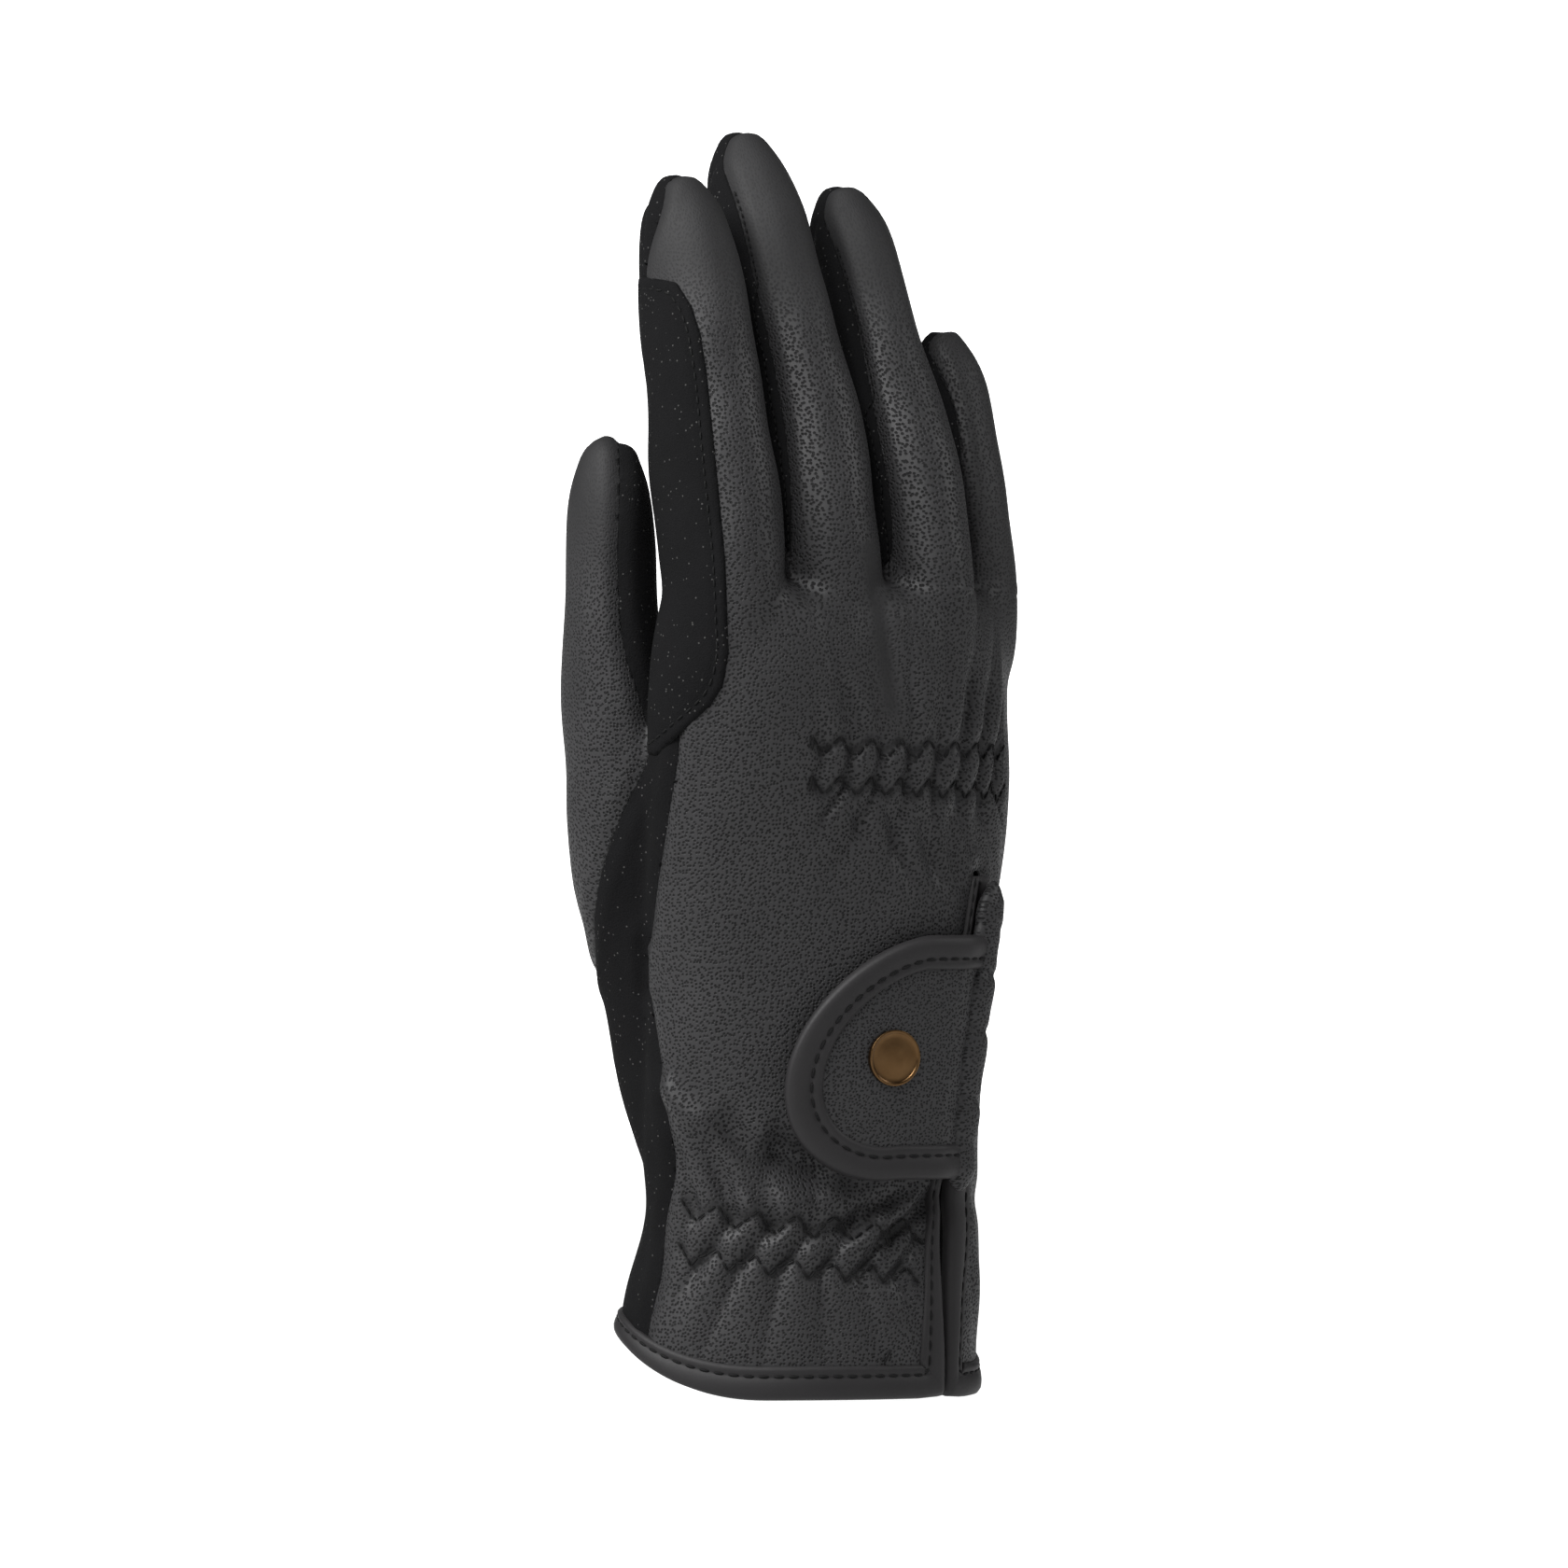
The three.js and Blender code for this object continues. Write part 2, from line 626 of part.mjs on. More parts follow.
// Extrudes an outline drawn in the turned view. points hold right and height, deep is the range of depth
function viewPrism(points, near, far, slope = 0, level = 0) {
  const shape = new THREE.Shape(points.map(({ right, height }) => new THREE.Vector2(right, height)));
  const prism = new THREE.ExtrudeGeometry(shape, { depth: far - near, bevelEnabled: false, steps: 1 });
  const position = prism.attributes.position;
  for (let i = 0; i < position.count; i += 1) {
    const height = position.getY(i);
    const deep = near + position.getZ(i) + slope * (height - level);
    const place = fromView(position.getX(i), deep, height);
    position.setXYZ(i, place.x, place.y, place.z);
  }
  return solid(prism);
}

// The leather side of the thumb, seen from the turned view
function thumbLeatherSide(margin) {
  const seam = THUMB_SEAM.map((row) => ({
    right: -row.left * THUMB_OUT - margin,
    height: THUMB_ROOT + row.height * THUMB_LENGTH,
  }));
  const low = { right: -3 * THUMB_OUT, height: seam[0].height };
  const high = { right: -3 * THUMB_OUT, height: seam[seam.length - 1].height };
  return viewPrism([low, ...seam, high], -3 * THUMB_OUT, 3 * THUMB_OUT);
}

// Radius of the hand's section at an angle, so that a distance round it can be turned into an angle
function sectionRadius(angle, rise) {
  const step = 0.01;
  return palmPoint(angle + step, rise, 0).distanceTo(palmPoint(angle - step, rise, 0)) / (2 * step);
}

// Angle reached after walking a distance round the hand's section
function walkRound(angle, rise, distance) {
  const steps = Math.max(1, Math.ceil(Math.abs(distance) / 2));
  let reached = angle;
  for (let i = 0; i < steps; i += 1) {
    reached += distance / steps / sectionRadius(reached, rise);
  }
  return reached;
}

const ventAngle = -radians(90 - VENT_ANGLE);

// Half of the leather's opening at the vent, wide enough for the binding on its edges
function ventHalf(rise) {
  const share = THREE.MathUtils.clamp(rise / VENT_TOP, 0, 1);
  return (VENT_HEM_GAP + (VENT_TOP_GAP - VENT_HEM_GAP) * share) / 2 + bindingOut;
}

function ventEdge(rise, side) {
  return walkRound(ventAngle, rise, side * ventHalf(rise));
}

// The cut that opens the vent through the wall
function ventCut() {
  const rises = Array.from({ length: 12 }, (unused, i) => -12 + (i * (VENT_TOP + 12)) / 11);
  const reach = 4 * WALL;
  const rings = rises.map((rise) => [
    palmPoint(ventEdge(rise, -1), rise, -reach),
    palmPoint(ventEdge(rise, 1), rise, -reach),
    palmPoint(ventEdge(rise, 1), rise, reach),
    palmPoint(ventEdge(rise, -1), rise, reach),
  ]);
  return solid(loft(rings));
}

// Channel section that folds over an edge: distance in from the edge, and height off the outer face
function channel(width, top, bottom) {
  const out = bindingOut;
  return [
    [width, top + out], [-out, top + out], [-out, bottom - out], [width, bottom - out],
    [width, bottom - GAP], [-GAP, bottom - GAP], [-GAP, top + GAP], [width, top + GAP],
  ].map(([inward, height]) => new THREE.Vector2(inward, height));
}

// Section that covers the outer face and the edge only
function angleStrip(width) {
  const out = bindingOut;
  return [
    [width, out], [-out, out], [-out - LIP_DROP, -WALL], [-GAP - LIP_DROP, -WALL], [-GAP, GAP], [width, GAP],
  ].map(([inward, height]) => new THREE.Vector2(inward, height));
}

// Sweeps a section along an edge. Each stop has an angle, a rise and how it turns inward
function sweepEdge(stops, section) {
  const rings = stops.map(({ angle, rise, round, up }) => section.map((point) => palmPoint(
    walkRound(angle, rise, round * point.x),
    rise + up * point.x,
    point.y,
  )));
  return solid(loft(rings));
}

function hemBinding() {
  const section = angleStrip(BINDING_WIDTH);
  const ventRises = Array.from({ length: 8 }, (unused, i) => VENT_TOP - 1 - (i * (VENT_TOP - 9)) / 7);
  const down = ventRises.map((rise) => ({ angle: ventEdge(rise, -1), rise, round: -1, up: 0 }));
  const up = ventRises.map((rise) => ({ angle: ventEdge(rise, 1), rise, round: 1, up: 0 })).reverse();
  const first = ventEdge(0, -1);
  const last = ventEdge(0, 1) - 2 * Math.PI;
  const margin = radians(10);
  const hem = palmAngles(FOLD_TURN, COARSE_TURN)
    .map((angle) => (angle > first - margin ? angle - 2 * Math.PI : angle))
    .filter((angle) => angle > last + margin)
    .sort((a, b) => b - a)
    .map((angle) => ({ angle, rise: 0, round: 0, up: 1 }));
  const corners = [
    { angle: first, rise: 0, round: -1, up: 1 },
    { angle: last, rise: 0, round: 1, up: 1 },
  ];
  return sweepEdge([...down, corners[0], ...hem, corners[1], ...up], section);
}

// Heights off the leather: the tab clears the vent's binding, and its own binding folds under it
const tabBase = bindingOut + GAP + bindingOut;
const tabTop = tabBase + TAB_THICKNESS;

// Middle, and lower and upper edge, of the tab at a turn of its round end from 0 to 90 degrees
function tabColumn(turn, inset) {
  const half = TAB_HEIGHT / 2 - inset;
  return {
    distance: TAB_STRAIGHT + (TAB_ROUND - inset) * Math.sin(turn),
    middle: TAB_MIDDLE - TAB_DROOP * Math.sin(turn),
    half: half * Math.cos(turn),
  };
}

function tabColumns(start, inset) {
  const straight = [0, 0.33, 0.67].map((share) => ({
    distance: start + share * (TAB_STRAIGHT - start),
    middle: TAB_MIDDLE,
    half: TAB_HEIGHT / 2 - inset,
  }));
  const round = [0, 15, 30, 44, 57, 69, 79, 86].map((degrees) => tabColumn(radians(degrees), inset));
  return [...straight, ...round];
}

// A plate that follows the back of the hand, between two heights off the leather
function tabPlate(columns, low, high) {
  const shares = [-1, -0.5, 0, 0.5, 1];
  const rings = columns.map(({ distance, middle, half }) => {
    const rises = shares.map((share) => middle + share * half);
    const place = (rise, height) => palmPoint(walkRound(ventAngle, rise, -distance), rise, height);
    return [
      ...rises.map((rise) => place(rise, high)),
      ...rises.slice().reverse().map((rise) => place(rise, low)),
    ];
  });
  return solid(loft(rings));
}

function tabBinding() {
  const section = channel(BINDING_WIDTH, tabTop, tabBase);
  const turns = Array.from({ length: 17 }, (unused, i) => radians(90 - (i * 180) / 16));
  const straight = [0, 0.33, 0.67].map((share) => GAP + share * TAB_STRAIGHT);
  const edge = (distance, rise, round, up) => {
    const angle = walkRound(ventAngle, rise, -distance);
    return { angle, rise, round, up };
  };
  const top = straight.map((distance) => edge(distance, TAB_MIDDLE + TAB_HEIGHT / 2, 0, -1));
  const bottom = straight.map((distance) => edge(distance, TAB_MIDDLE - TAB_HEIGHT / 2, 0, 1)).reverse();
  const end = turns.map((turn) => edge(
    TAB_STRAIGHT + TAB_ROUND * Math.cos(turn),
    TAB_MIDDLE - TAB_DROOP * Math.cos(turn) + (TAB_HEIGHT / 2) * Math.sin(turn),
    Math.cos(turn),
    -Math.sin(turn),
  ));
  return sweepEdge([...top, ...end, ...bottom], section);
}

// The rolled fold along the outer side of the vent
function ventFold() {
  const base = bindingOut + GAP;
  const low = TAB_MIDDLE - TAB_HEIGHT / 2 - FOLD_THICKNESS;
  const high = VENT_TOP - FOLD_THICKNESS;
  const steps = 10;
  const sides = 8;
  const rings = Array.from({ length: steps + 1 }, (unused, i) => {
    const rise = low + (i * (high - low)) / steps;
    const end = Math.sin((Math.PI * (i + 0.5)) / (steps + 1)) ** 0.4;
    return Array.from({ length: sides }, (unusedSide, j) => {
      const turn = (2 * Math.PI * j) / sides;
      const across = GAP + (FOLD_WIDTH / 2) * (1 + end * Math.cos(turn));
      const height = base + (FOLD_THICKNESS / 2) * (1 + end * Math.sin(turn));
      return palmPoint(walkRound(ventAngle, rise, across), rise, height);
    });
  });
  return solid(loft(rings));
}

function badgeSolid() {
  const angle = walkRound(ventAngle, TAB_MIDDLE, -BADGE_REACH);
  const place = palmPoint(angle, TAB_MIDDLE, tabTop + GAP);
  const along = palmPoint(angle + 0.05, TAB_MIDDLE, tabTop).sub(palmPoint(angle - 0.05, TAB_MIDDLE, tabTop));
  const upward = palmPoint(angle, TAB_MIDDLE + 2, tabTop).sub(palmPoint(angle, TAB_MIDDLE - 2, tabTop));
  const normal = along.cross(upward).normalize();
  const inner = BADGE_RADIUS - BADGE_RIM;
  const profile = [
    new THREE.Vector2(0, 0),
    new THREE.Vector2(BADGE_RADIUS, 0),
    new THREE.Vector2(BADGE_RADIUS, 0.8 * BADGE_THICKNESS),
    new THREE.Vector2(BADGE_RADIUS - BADGE_RIM / 3, BADGE_THICKNESS),
    new THREE.Vector2(inner, BADGE_THICKNESS),
    new THREE.Vector2(inner - BADGE_RIM / 3, 0.75 * BADGE_THICKNESS),
    new THREE.Vector2(0, 0.8 * BADGE_THICKNESS),
  ];
  const disc = new THREE.LatheGeometry(profile, 24);
  disc.applyQuaternion(new THREE.Quaternion().setFromUnitVectors(new THREE.Vector3(0, 1, 0), normal));
  disc.translate(place.x, place.y, place.z);
  return solid(disc);
}

// The patch over the thumb side of the index finger
function indexPatch() {
  const outline = PATCH_OUTLINE.map((row) => ({
    right: -row.left * PALM_BREADTH,
    height: row.height * GLOVE_LENGTH,
  }));
  const skin = (outward) => palmSolid(outward, true).add(fingerSolid(FINGERS.index, outward));
  const cover = skin(GAP + PATCH_THICKNESS).subtract(skin(GAP));
  const others = [FINGERS.middle, FINGERS.ring, FINGERS.little].map((finger) => fingerSolid(finger, GAP));
  const clear = others.reduce((body, finger) => body.add(finger), thumbSolid(GAP));
  const slope = (FINGERS.index.curl * Math.cos(VIEW_TURN)) / FINGERS.index.length;
  const prism = viewPrism(outline, -2 * PALM_BREADTH, PATCH_BACK, slope, FINGER_ROOT);
  return mainBody(cover.intersect(prism).subtract(clear));
}

// The strip between two neighbouring fingers
function fourchette(band, left, right) {
  const reach = GLOVE_LENGTH;
  const points = [
    new THREE.Vector3(left.across, -reach, 0),
    new THREE.Vector3(right.across, -reach, 0),
    new THREE.Vector3(right.across, reach, 0),
    new THREE.Vector3(left.across, reach, 0),
  ];
  const rings = [0, 2 * GLOVE_LENGTH].map((height) => points.map((point) => point.clone().setZ(height)));
  return mainBody(band.intersect(solid(loft(rings))));
}

function mesh(name, body, finish) {
  const { vertProperties, triVerts } = body.getMesh();
  const geometry = new THREE.BufferGeometry();
  geometry.setAttribute("position", new THREE.BufferAttribute(new Float32Array(vertProperties), 3));
  geometry.setIndex(Array.from(triVerts));
  const result = new THREE.Mesh(geometry, new THREE.MeshStandardMaterial(finish));
  result.name = name;
  return result;
}

const outer = handSolid(0, true).add(thumbSolid(0));
const inner = handSolid(-WALL, false).add(thumbSolid(-WALL));
const shell = outer.subtract(inner);
const thumbPart = shell.intersect(thumbSide(GAP / 2));
const handPart = shell.subtract(thumbSide(-GAP / 2));
const backPanel = handPart.intersect(seamSide(1, GAP / 2)).subtract(ventCut());
const palmPanel = handPart.intersect(seamSide(-1, GAP / 2));
const band = handPart.subtract(seamSide(1, -GAP / 2)).subtract(seamSide(-1, -GAP / 2));

const padInset = BINDING_WIDTH + PAD_MARGIN;
const padColumns = tabColumns(ventHalf(0) + padInset, padInset);

const glove = new THREE.Group();
glove.add(
  mesh("back_panel", mainBody(backPanel), LEATHER),
  mesh("palm_panel", mainBody(palmPanel), SUEDE),
  mesh("fourchette_index_middle", fourchette(band, FINGERS.index, FINGERS.middle), SUEDE),
  mesh("fourchette_middle_ring", fourchette(band, FINGERS.middle, FINGERS.ring), SUEDE),
  mesh("fourchette_ring_little", fourchette(band, FINGERS.ring, FINGERS.little), SUEDE),
  mesh("thumb_back", mainBody(thumbPart.intersect(thumbLeatherSide(GAP / 2))), LEATHER),
  mesh("thumb_palm", mainBody(thumbPart.subtract(thumbLeatherSide(-GAP / 2))), SUEDE),
  mesh("index_patch", indexPatch(), SUEDE),
  mesh("closure_tab", tabPlate(tabColumns(GAP, 0), tabBase, tabTop), LEATHER),
  mesh("tab_binding", tabBinding(), BINDING),
  mesh("hook_pad", tabPlate(padColumns, GAP, tabBase - GAP), PAD),
  mesh("badge", badgeSolid(), BRONZE),
  mesh("vent_fold", ventFold(), LEATHER),
  mesh("hem_binding", hemBinding(), BINDING),
);

export default glove;
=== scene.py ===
"""Looks of a filled right-hand riding glove, with its back to the viewer and its fingers up.

Lengths in the tables and in the shaping functions are millimetres; meshes are made in metres.
"""

import math
from functools import partial

import bpy
import numpy as np
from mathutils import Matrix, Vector
from mathutils.bvhtree import BVHTree
from mathutils.kdtree import KDTree


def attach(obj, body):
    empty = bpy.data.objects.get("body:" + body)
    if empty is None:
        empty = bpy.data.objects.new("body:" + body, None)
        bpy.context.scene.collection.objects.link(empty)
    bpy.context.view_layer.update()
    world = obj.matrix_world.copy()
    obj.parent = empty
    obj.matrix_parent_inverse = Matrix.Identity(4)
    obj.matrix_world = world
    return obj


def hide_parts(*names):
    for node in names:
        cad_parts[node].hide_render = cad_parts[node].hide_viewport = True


bl_info = {
    "name": "Riding Glove",
    "version": (1, 0, 0),
    "blender": (4, 5, 0),
    "location": "3D Viewport > Sidebar > Glove",
    "description": "Models a gathered leather riding glove with a closure tab",
    "category": "Object",
}

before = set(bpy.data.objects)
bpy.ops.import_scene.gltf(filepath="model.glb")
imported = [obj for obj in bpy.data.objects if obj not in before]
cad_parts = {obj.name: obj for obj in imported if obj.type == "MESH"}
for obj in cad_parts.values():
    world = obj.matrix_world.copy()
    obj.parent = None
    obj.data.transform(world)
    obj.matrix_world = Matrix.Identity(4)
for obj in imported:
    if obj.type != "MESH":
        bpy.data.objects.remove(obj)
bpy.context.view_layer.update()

MM = 0.001
BODY = "root"
VIEW_TURN = math.radians(30)
ACROSS = np.array([math.cos(VIEW_TURN), -math.sin(VIEW_TURN), 0.0])
AWAY = np.array([math.sin(VIEW_TURN), math.cos(VIEW_TURN), 0.0])

# Hand and cuff. The arches bow the knuckles back towards the little finger and the thumb.
# HEM_RISE: how much higher the hem is on the palm side
PALM_HEIGHT = 157.0
PALM_BREADTH = 82.5
PALM_DEPTH = 30.0
KNUCKLE_ACROSS = 6.3
KNUCKLE_FORWARD = 12.0
ULNAR_ARCH = 16.0
RADIAL_ARCH = 2.0
WRIST_TURN = 14.0
HEM_RISE = 13.0
HEM_LIFT = 1.2
WALL = 1.4
# How far a binding stands past the edge that it folds over
BINDING_BULGE = 1.2
# Where the vent's bindings start to turn into the hem's
HEM_CORNER = 6.5

FINGER_ROOT = 132.0
# across, forward: place of the finger's root. curl, lean: how far its tip comes forward and sideways.
# open: how far the suede between it and its neighbour shows
FINGER_COLUMNS = ("length", "breadth", "depth", "across", "forward", "curl", "lean", "open")
FINGER_ROWS = (
    ("index", 104.0, 21.4, 28.2, -22.4, 11.0, 17.5, 0.2, 1.0),
    ("middle", 113.0, 21.4, 28.6, -0.8, 12.4, 30.5, -0.6, 1.0),
    ("ring", 102.0, 19.2, 26.4, 20.4, 12.8, 29.5, -0.5, 1.0),
    ("little", 75.0, 18.0, 20.4, 38.8, 1.8, 10.0, -1.0, 1.38),
)
FINGERS = {row[0]: dict(zip(FINGER_COLUMNS, row[1:])) for row in FINGER_ROWS}
NAMES = list(FINGERS)

# Thumb. THUMB_OUT, THUMB_INWARD: place of its tip beside and in front of the hand. THUMB_CROTCH: height
# of the gap to the index finger. The two slopes are those of the seam below the thumb, in degrees
THUMB_ROOT = 42.0
THUMB_LENGTH = 143.0
THUMB_BREADTH = 20.0
THUMB_DEPTH = 21.6
THUMB_OUT = 34.6
THUMB_INWARD = 12.0
THUMB_CROTCH = 124.0
THUMB_SEAM_TILT = 25.0
THUMB_SEAM_LEAN = 4.3

# Vent in the cuff and the tab over it. TAB_STRAIGHT: length of its straight sides. TAB_ROUND: reach of its
# round end. TAB_DROOP: how far that end hangs. TAB_BASE: height of its underside. BADGE_REACH: from the vent
VENT_ANGLE = math.radians(-46)
VENT_TOP = 101.0
TAB_HEIGHT = 45.0
TAB_MIDDLE = 65.0
TAB_STRAIGHT = 14.5
TAB_ROUND = 21.0
TAB_DROOP = 3.0
TAB_BASE = 2.2
TAB_THICKNESS = 1.9
BADGE_REACH = 17.8
BADGE_RADIUS = 5.4
BADGE_DEPTH = 1.2
GLOVE_LENGTH = FINGER_ROOT + FINGERS["middle"]["length"]

# Sections of the hand, as shares of its sizes: height, breadth, depth, across, forward, arch, turn.
# square: 2 is an oval, more is squarer
PALM_SECTIONS = (
    (0.0, 0.855, 1.6, 0.0, 0.0, 0.0, 1.0, 2.0),
    (0.08, 0.835, 1.54, 0.07, 0.04, 0.0, 1.0, 2.0),
    (0.21, 0.79, 1.33, 0.24, 0.21, 0.0, 1.0, 2.0),
    (0.31, 0.803, 1.3, 0.21, 0.25, 0.02, 0.92, 2.05),
    (0.41, 0.828, 1.27, 0.21, 0.37, 0.06, 0.8, 2.1),
    (0.51, 0.858, 1.23, 0.31, 0.5, 0.16, 0.64, 2.15),
    (0.61, 0.895, 1.18, 0.45, 0.62, 0.32, 0.46, 2.2),
    (0.7, 0.937, 1.13, 0.63, 0.75, 0.52, 0.28, 2.25),
    (0.8, 0.976, 1.08, 0.82, 0.88, 0.78, 0.12, 2.45),
    (0.89, 0.998, 1.04, 0.94, 0.97, 0.96, 0.02, 2.6),
    (0.955, 1.0, 0.97, 1.0, 1.0, 1.0, 0.0, 2.6),
    (0.985, 0.97, 0.78, 1.0, 1.0, 1.0, 0.0, 2.5),
    (1.0, 0.9, 0.42, 1.0, 1.0, 1.0, 0.0, 2.3),
)

# Sections of a finger, as shares of its sizes: height, curl, breadth, depth
FINGER_SECTIONS = (
    (0.0, 0.0, 0.55, 0.4),
    (0.14, 0.0, 0.93, 0.88),
    (0.25, 0.03, 1.0, 1.0),
    (0.38, 0.14, 0.99, 0.98),
    (0.5, 0.29, 0.97, 0.95),
    (0.6, 0.44, 0.95, 0.93),
    (0.7, 0.6, 0.92, 0.9),
    (0.79, 0.75, 0.87, 0.85),
    (0.87, 0.87, 0.79, 0.77),
    (0.93, 0.96, 0.65, 0.63),
    (0.97, 1.01, 0.43, 0.42),
    (0.992, 1.04, 0.24, 0.24),
    (1.0, 1.05, 0.0, 0.0),
)

# Sections of the thumb, as shares of its sizes: height, out, inward, breadth, depth
THUMB_SECTIONS = (
    (0.0, 0.376, 0.42, 1.6, 0.74),
    (0.091, 0.434, 0.75, 1.65, 1.11),
    (0.161, 0.506, 0.96, 1.57, 1.16),
    (0.266, 0.6, 1.08, 1.5, 1.28),
    (0.371, 0.74, 1.1, 1.41, 1.29),
    (0.476, 0.86, 1.08, 1.26, 1.2),
    (0.58, 0.955, 1.02, 1.07, 1.08),
    (0.692, 1.0, 1.0, 0.99, 1.0),
    (0.797, 1.0, 1.0, 0.92, 0.93),
    (0.86, 1.0, 1.0, 0.85, 0.87),
    (0.916, 1.0, 1.02, 0.74, 0.77),
    (0.958, 1.0, 1.03, 0.56, 0.59),
    (0.986, 1.0, 1.04, 0.35, 0.37),
    (1.0, 1.0, 1.05, 0.0, 0.0),
)

# Seam between the leather back and the suede on the thumb side: height, left
BACK_SEAM = (
    (-0.05, 0.35),
    (0.05, 0.344),
    (0.1, 0.316),
    (0.14, 0.31),
    (0.18, 0.288),
    (0.24, 0.312),
    (0.32, 0.353),
    (0.38, 0.34),
    (0.45, 0.31),
    (0.52, 0.277),
    (0.6, 0.31),
    (0.7, 0.335),
    (0.82, 0.345),
    (0.89, 0.36),
    (0.95, 0.315),
    (1.05, 0.3),
)

# Seams of a finger, as shares of its half depth: height, then how far the inner and the outer seam lie
# towards the back, and the palm's seam towards the palm
FINGER_SEAMS = (
    (0.0, 0.0, 0.0, 0.0),
    (0.14, 0.02, 0.02, 0.02),
    (0.2, 0.16, 0.05, 0.4),
    (0.27, 0.34, 0.0, 0.62),
    (0.38, 0.5, 0.0, 0.62),
    (0.52, 0.59, 0.0, 0.62),
    (0.8, 0.62, 0.0, 0.62),
    (0.9, 0.45, 0.05, 0.35),
    (0.96, 0.1, 0.1, 0.0),
    (1.0, 0.08, 0.08, -0.08),
)

# Thumb seam: height, left
THUMB_SEAM = (
    (0.0, 0.798),
    (0.564, 0.798),
    (0.594, 0.818),
    (0.657, 0.884),
    (0.706, 0.948),
    (0.769, 0.983),
    (0.832, 0.994),
    (0.935, 0.988),
    (1.05, 1.0),
)

# Index patch outline: left, height
PATCH_OUTLINE = (
    (0.55, 0.9),
    (0.367, 0.881),
    (0.286, 0.876),
    (0.248, 0.857),
    (0.226, 0.835),
    (0.212, 0.805),
    (0.193, 0.747),
    (0.168, 0.658),
    (0.16, 0.585),
    (0.173, 0.559),
    (0.198, 0.545),
    (0.231, 0.534),
    (0.264, 0.524),
    (0.32, 0.505),
    (0.55, 0.5),
)
PATCH_CORNERS = np.array([(-left * PALM_BREADTH, height * GLOVE_LENGTH) for left, height in PATCH_OUTLINE])
# The patch ends this far in front of the hand's middle, at the index finger's root
PATCH_BACK = -19.0

# Sewn zigzag rows. right, height: where the row starts in the turned view. pitch, tooth: width and
# height of a tooth. sink: how much lower the row runs after one pitch. level: how fast that levels
# out, or 0. teeth: their number
ZIGZAG_COLUMNS = ("right", "height", "pitch", "tooth", "sink", "level", "teeth")
KNUCKLE_ROWS = (
    (2.2, 125.9, 6.7, 3.2, 0.2, 0.0, 8.0),
    (2.2, 118.1, 6.7, 3.7, 0.2, 0.0, 8.0),
)
WRIST_ROWS = (
    (-22.6, 37.0, 7.75, 3.4, 1.45, 0.105, 6.5),
    (-23.2, 28.4, 7.75, 3.9, 1.35, 0.12, 6.5),
)

# A tooth is slanted, so the distance across its thread is this share of the height above it
TOOTH_SLANT = 0.7

# How the leather puffs between two sewn rows. shift: how far a puff slants. above, below: reach of
# its folds. fan_up, fan_down: how soon they spread
KNUCKLE_GATHERS = {"shift": 1.5, "above": 19, "below": 14, "fan_up": 60, "fan_down": 24, "depth": 2.1}
WRIST_GATHERS = {"shift": 5.6, "above": 6, "below": 16, "fan_up": 26, "fan_down": 34, "depth": 1.6}

# Bar tacks in the turned view: right and height of both ends
TACKS = (
    ((2.0, 124.4), (2.2, 128.0)),
    ((2.0, 116.4), (2.2, 120.0)),
    ((16.4, 6.6), (17.5, 10.0)),
)

# Single folds in the turned view. width: half width. depth: negative is a valley
FOLD_COLUMNS = ("right_a", "height_a", "right_b", "height_b", "width", "depth")
FOLDS = (
    (19.7, 126.0, 15.0, 160.0, 2.0, -1.8),
    (13.4, 127.0, 8.6, 139.0, 1.2, -1.0),
    (31.2, 125.0, 33.4, 143.0, 1.2, -1.2),
    (35.4, 124.0, 37.0, 139.0, 1.1, -1.0),
    (25.6, 126.0, 26.4, 138.0, 1.3, -0.8),
    (17.6, 115.0, 23.4, 96.0, 1.7, -1.5),
    (23.4, 114.4, 29.0, 97.0, 1.7, -1.6),
    (30.2, 114.8, 31.6, 97.0, 1.5, -1.4),
    (10.9, 115.4, 14.0, 106.0, 1.3, -0.8),
    (35.0, 115.0, 37.6, 99.0, 1.4, -1.4),
    (-19.7, 35.6, -24.0, 50.0, 1.5, -1.4),
    (-11.6, 33.6, -19.2, 52.0, 1.9, -1.7),
    (-4.2, 31.6, -9.0, 42.0, 1.5, -1.0),
    (5.0, 31.0, 19.8, 40.6, 1.6, -1.6),
    (17.3, 29.6, 27.4, 41.4, 1.5, -2.0),
    (9.0, 28.8, 24.4, 39.6, 1.7, 1.4),
    (-15.0, 55.0, -2.0, 43.0, 3.2, -2.4),
    (-6.0, 50.0, 9.5, 44.6, 4.2, -4.4),
    (-27.0, 62.0, -14.0, 50.0, 2.4, 1.8),
    (-16.0, 38.0, 14.0, 39.0, 2.6, 1.1),
)

# Gap between the vent's bound edges, and the width of their bindings: rise, gap, back, outer
VENT_STOPS = (
    (-20.0, 0.6, 5.6, 3.6),
    (3.0, 0.6, 5.6, 3.6),
    (8.0, 0.9, 5.0, 3.2),
    (18.0, 1.9, 3.4, 3.8),
    (27.0, 2.8, 2.3, 4.8),
    (38.0, 2.2, 1.4, 5.4),
    (50.0, 1.8, 1.4, 4.0),
    (84.0, 0.9, 1.0, 1.3),
    (101.0, 0.5, 0.8, 1.0),
)

# Rolled fold on the vent's outer side: where it starts beside the vent and above the leather, and its size
FOLD_START = -2.2
FOLD_BREADTH = 6.4
FOLD_BASE = 0.4
FOLD_HEIGHT = 4.0
# Its pleats: rise, depth
FOLD_PLEATS = ((57.0, 0.9), (70.5, 0.8), (81.3, 0.9), (48.5, 0.5), (90.0, 0.4))

# Steps in the badge's face: how far in, and how far up
BADGE_STEPS = ((0.5, 0.0), (0.22, -0.3), (0.9, 0.0), (1.2, 0.12), (1.2, 0.05))

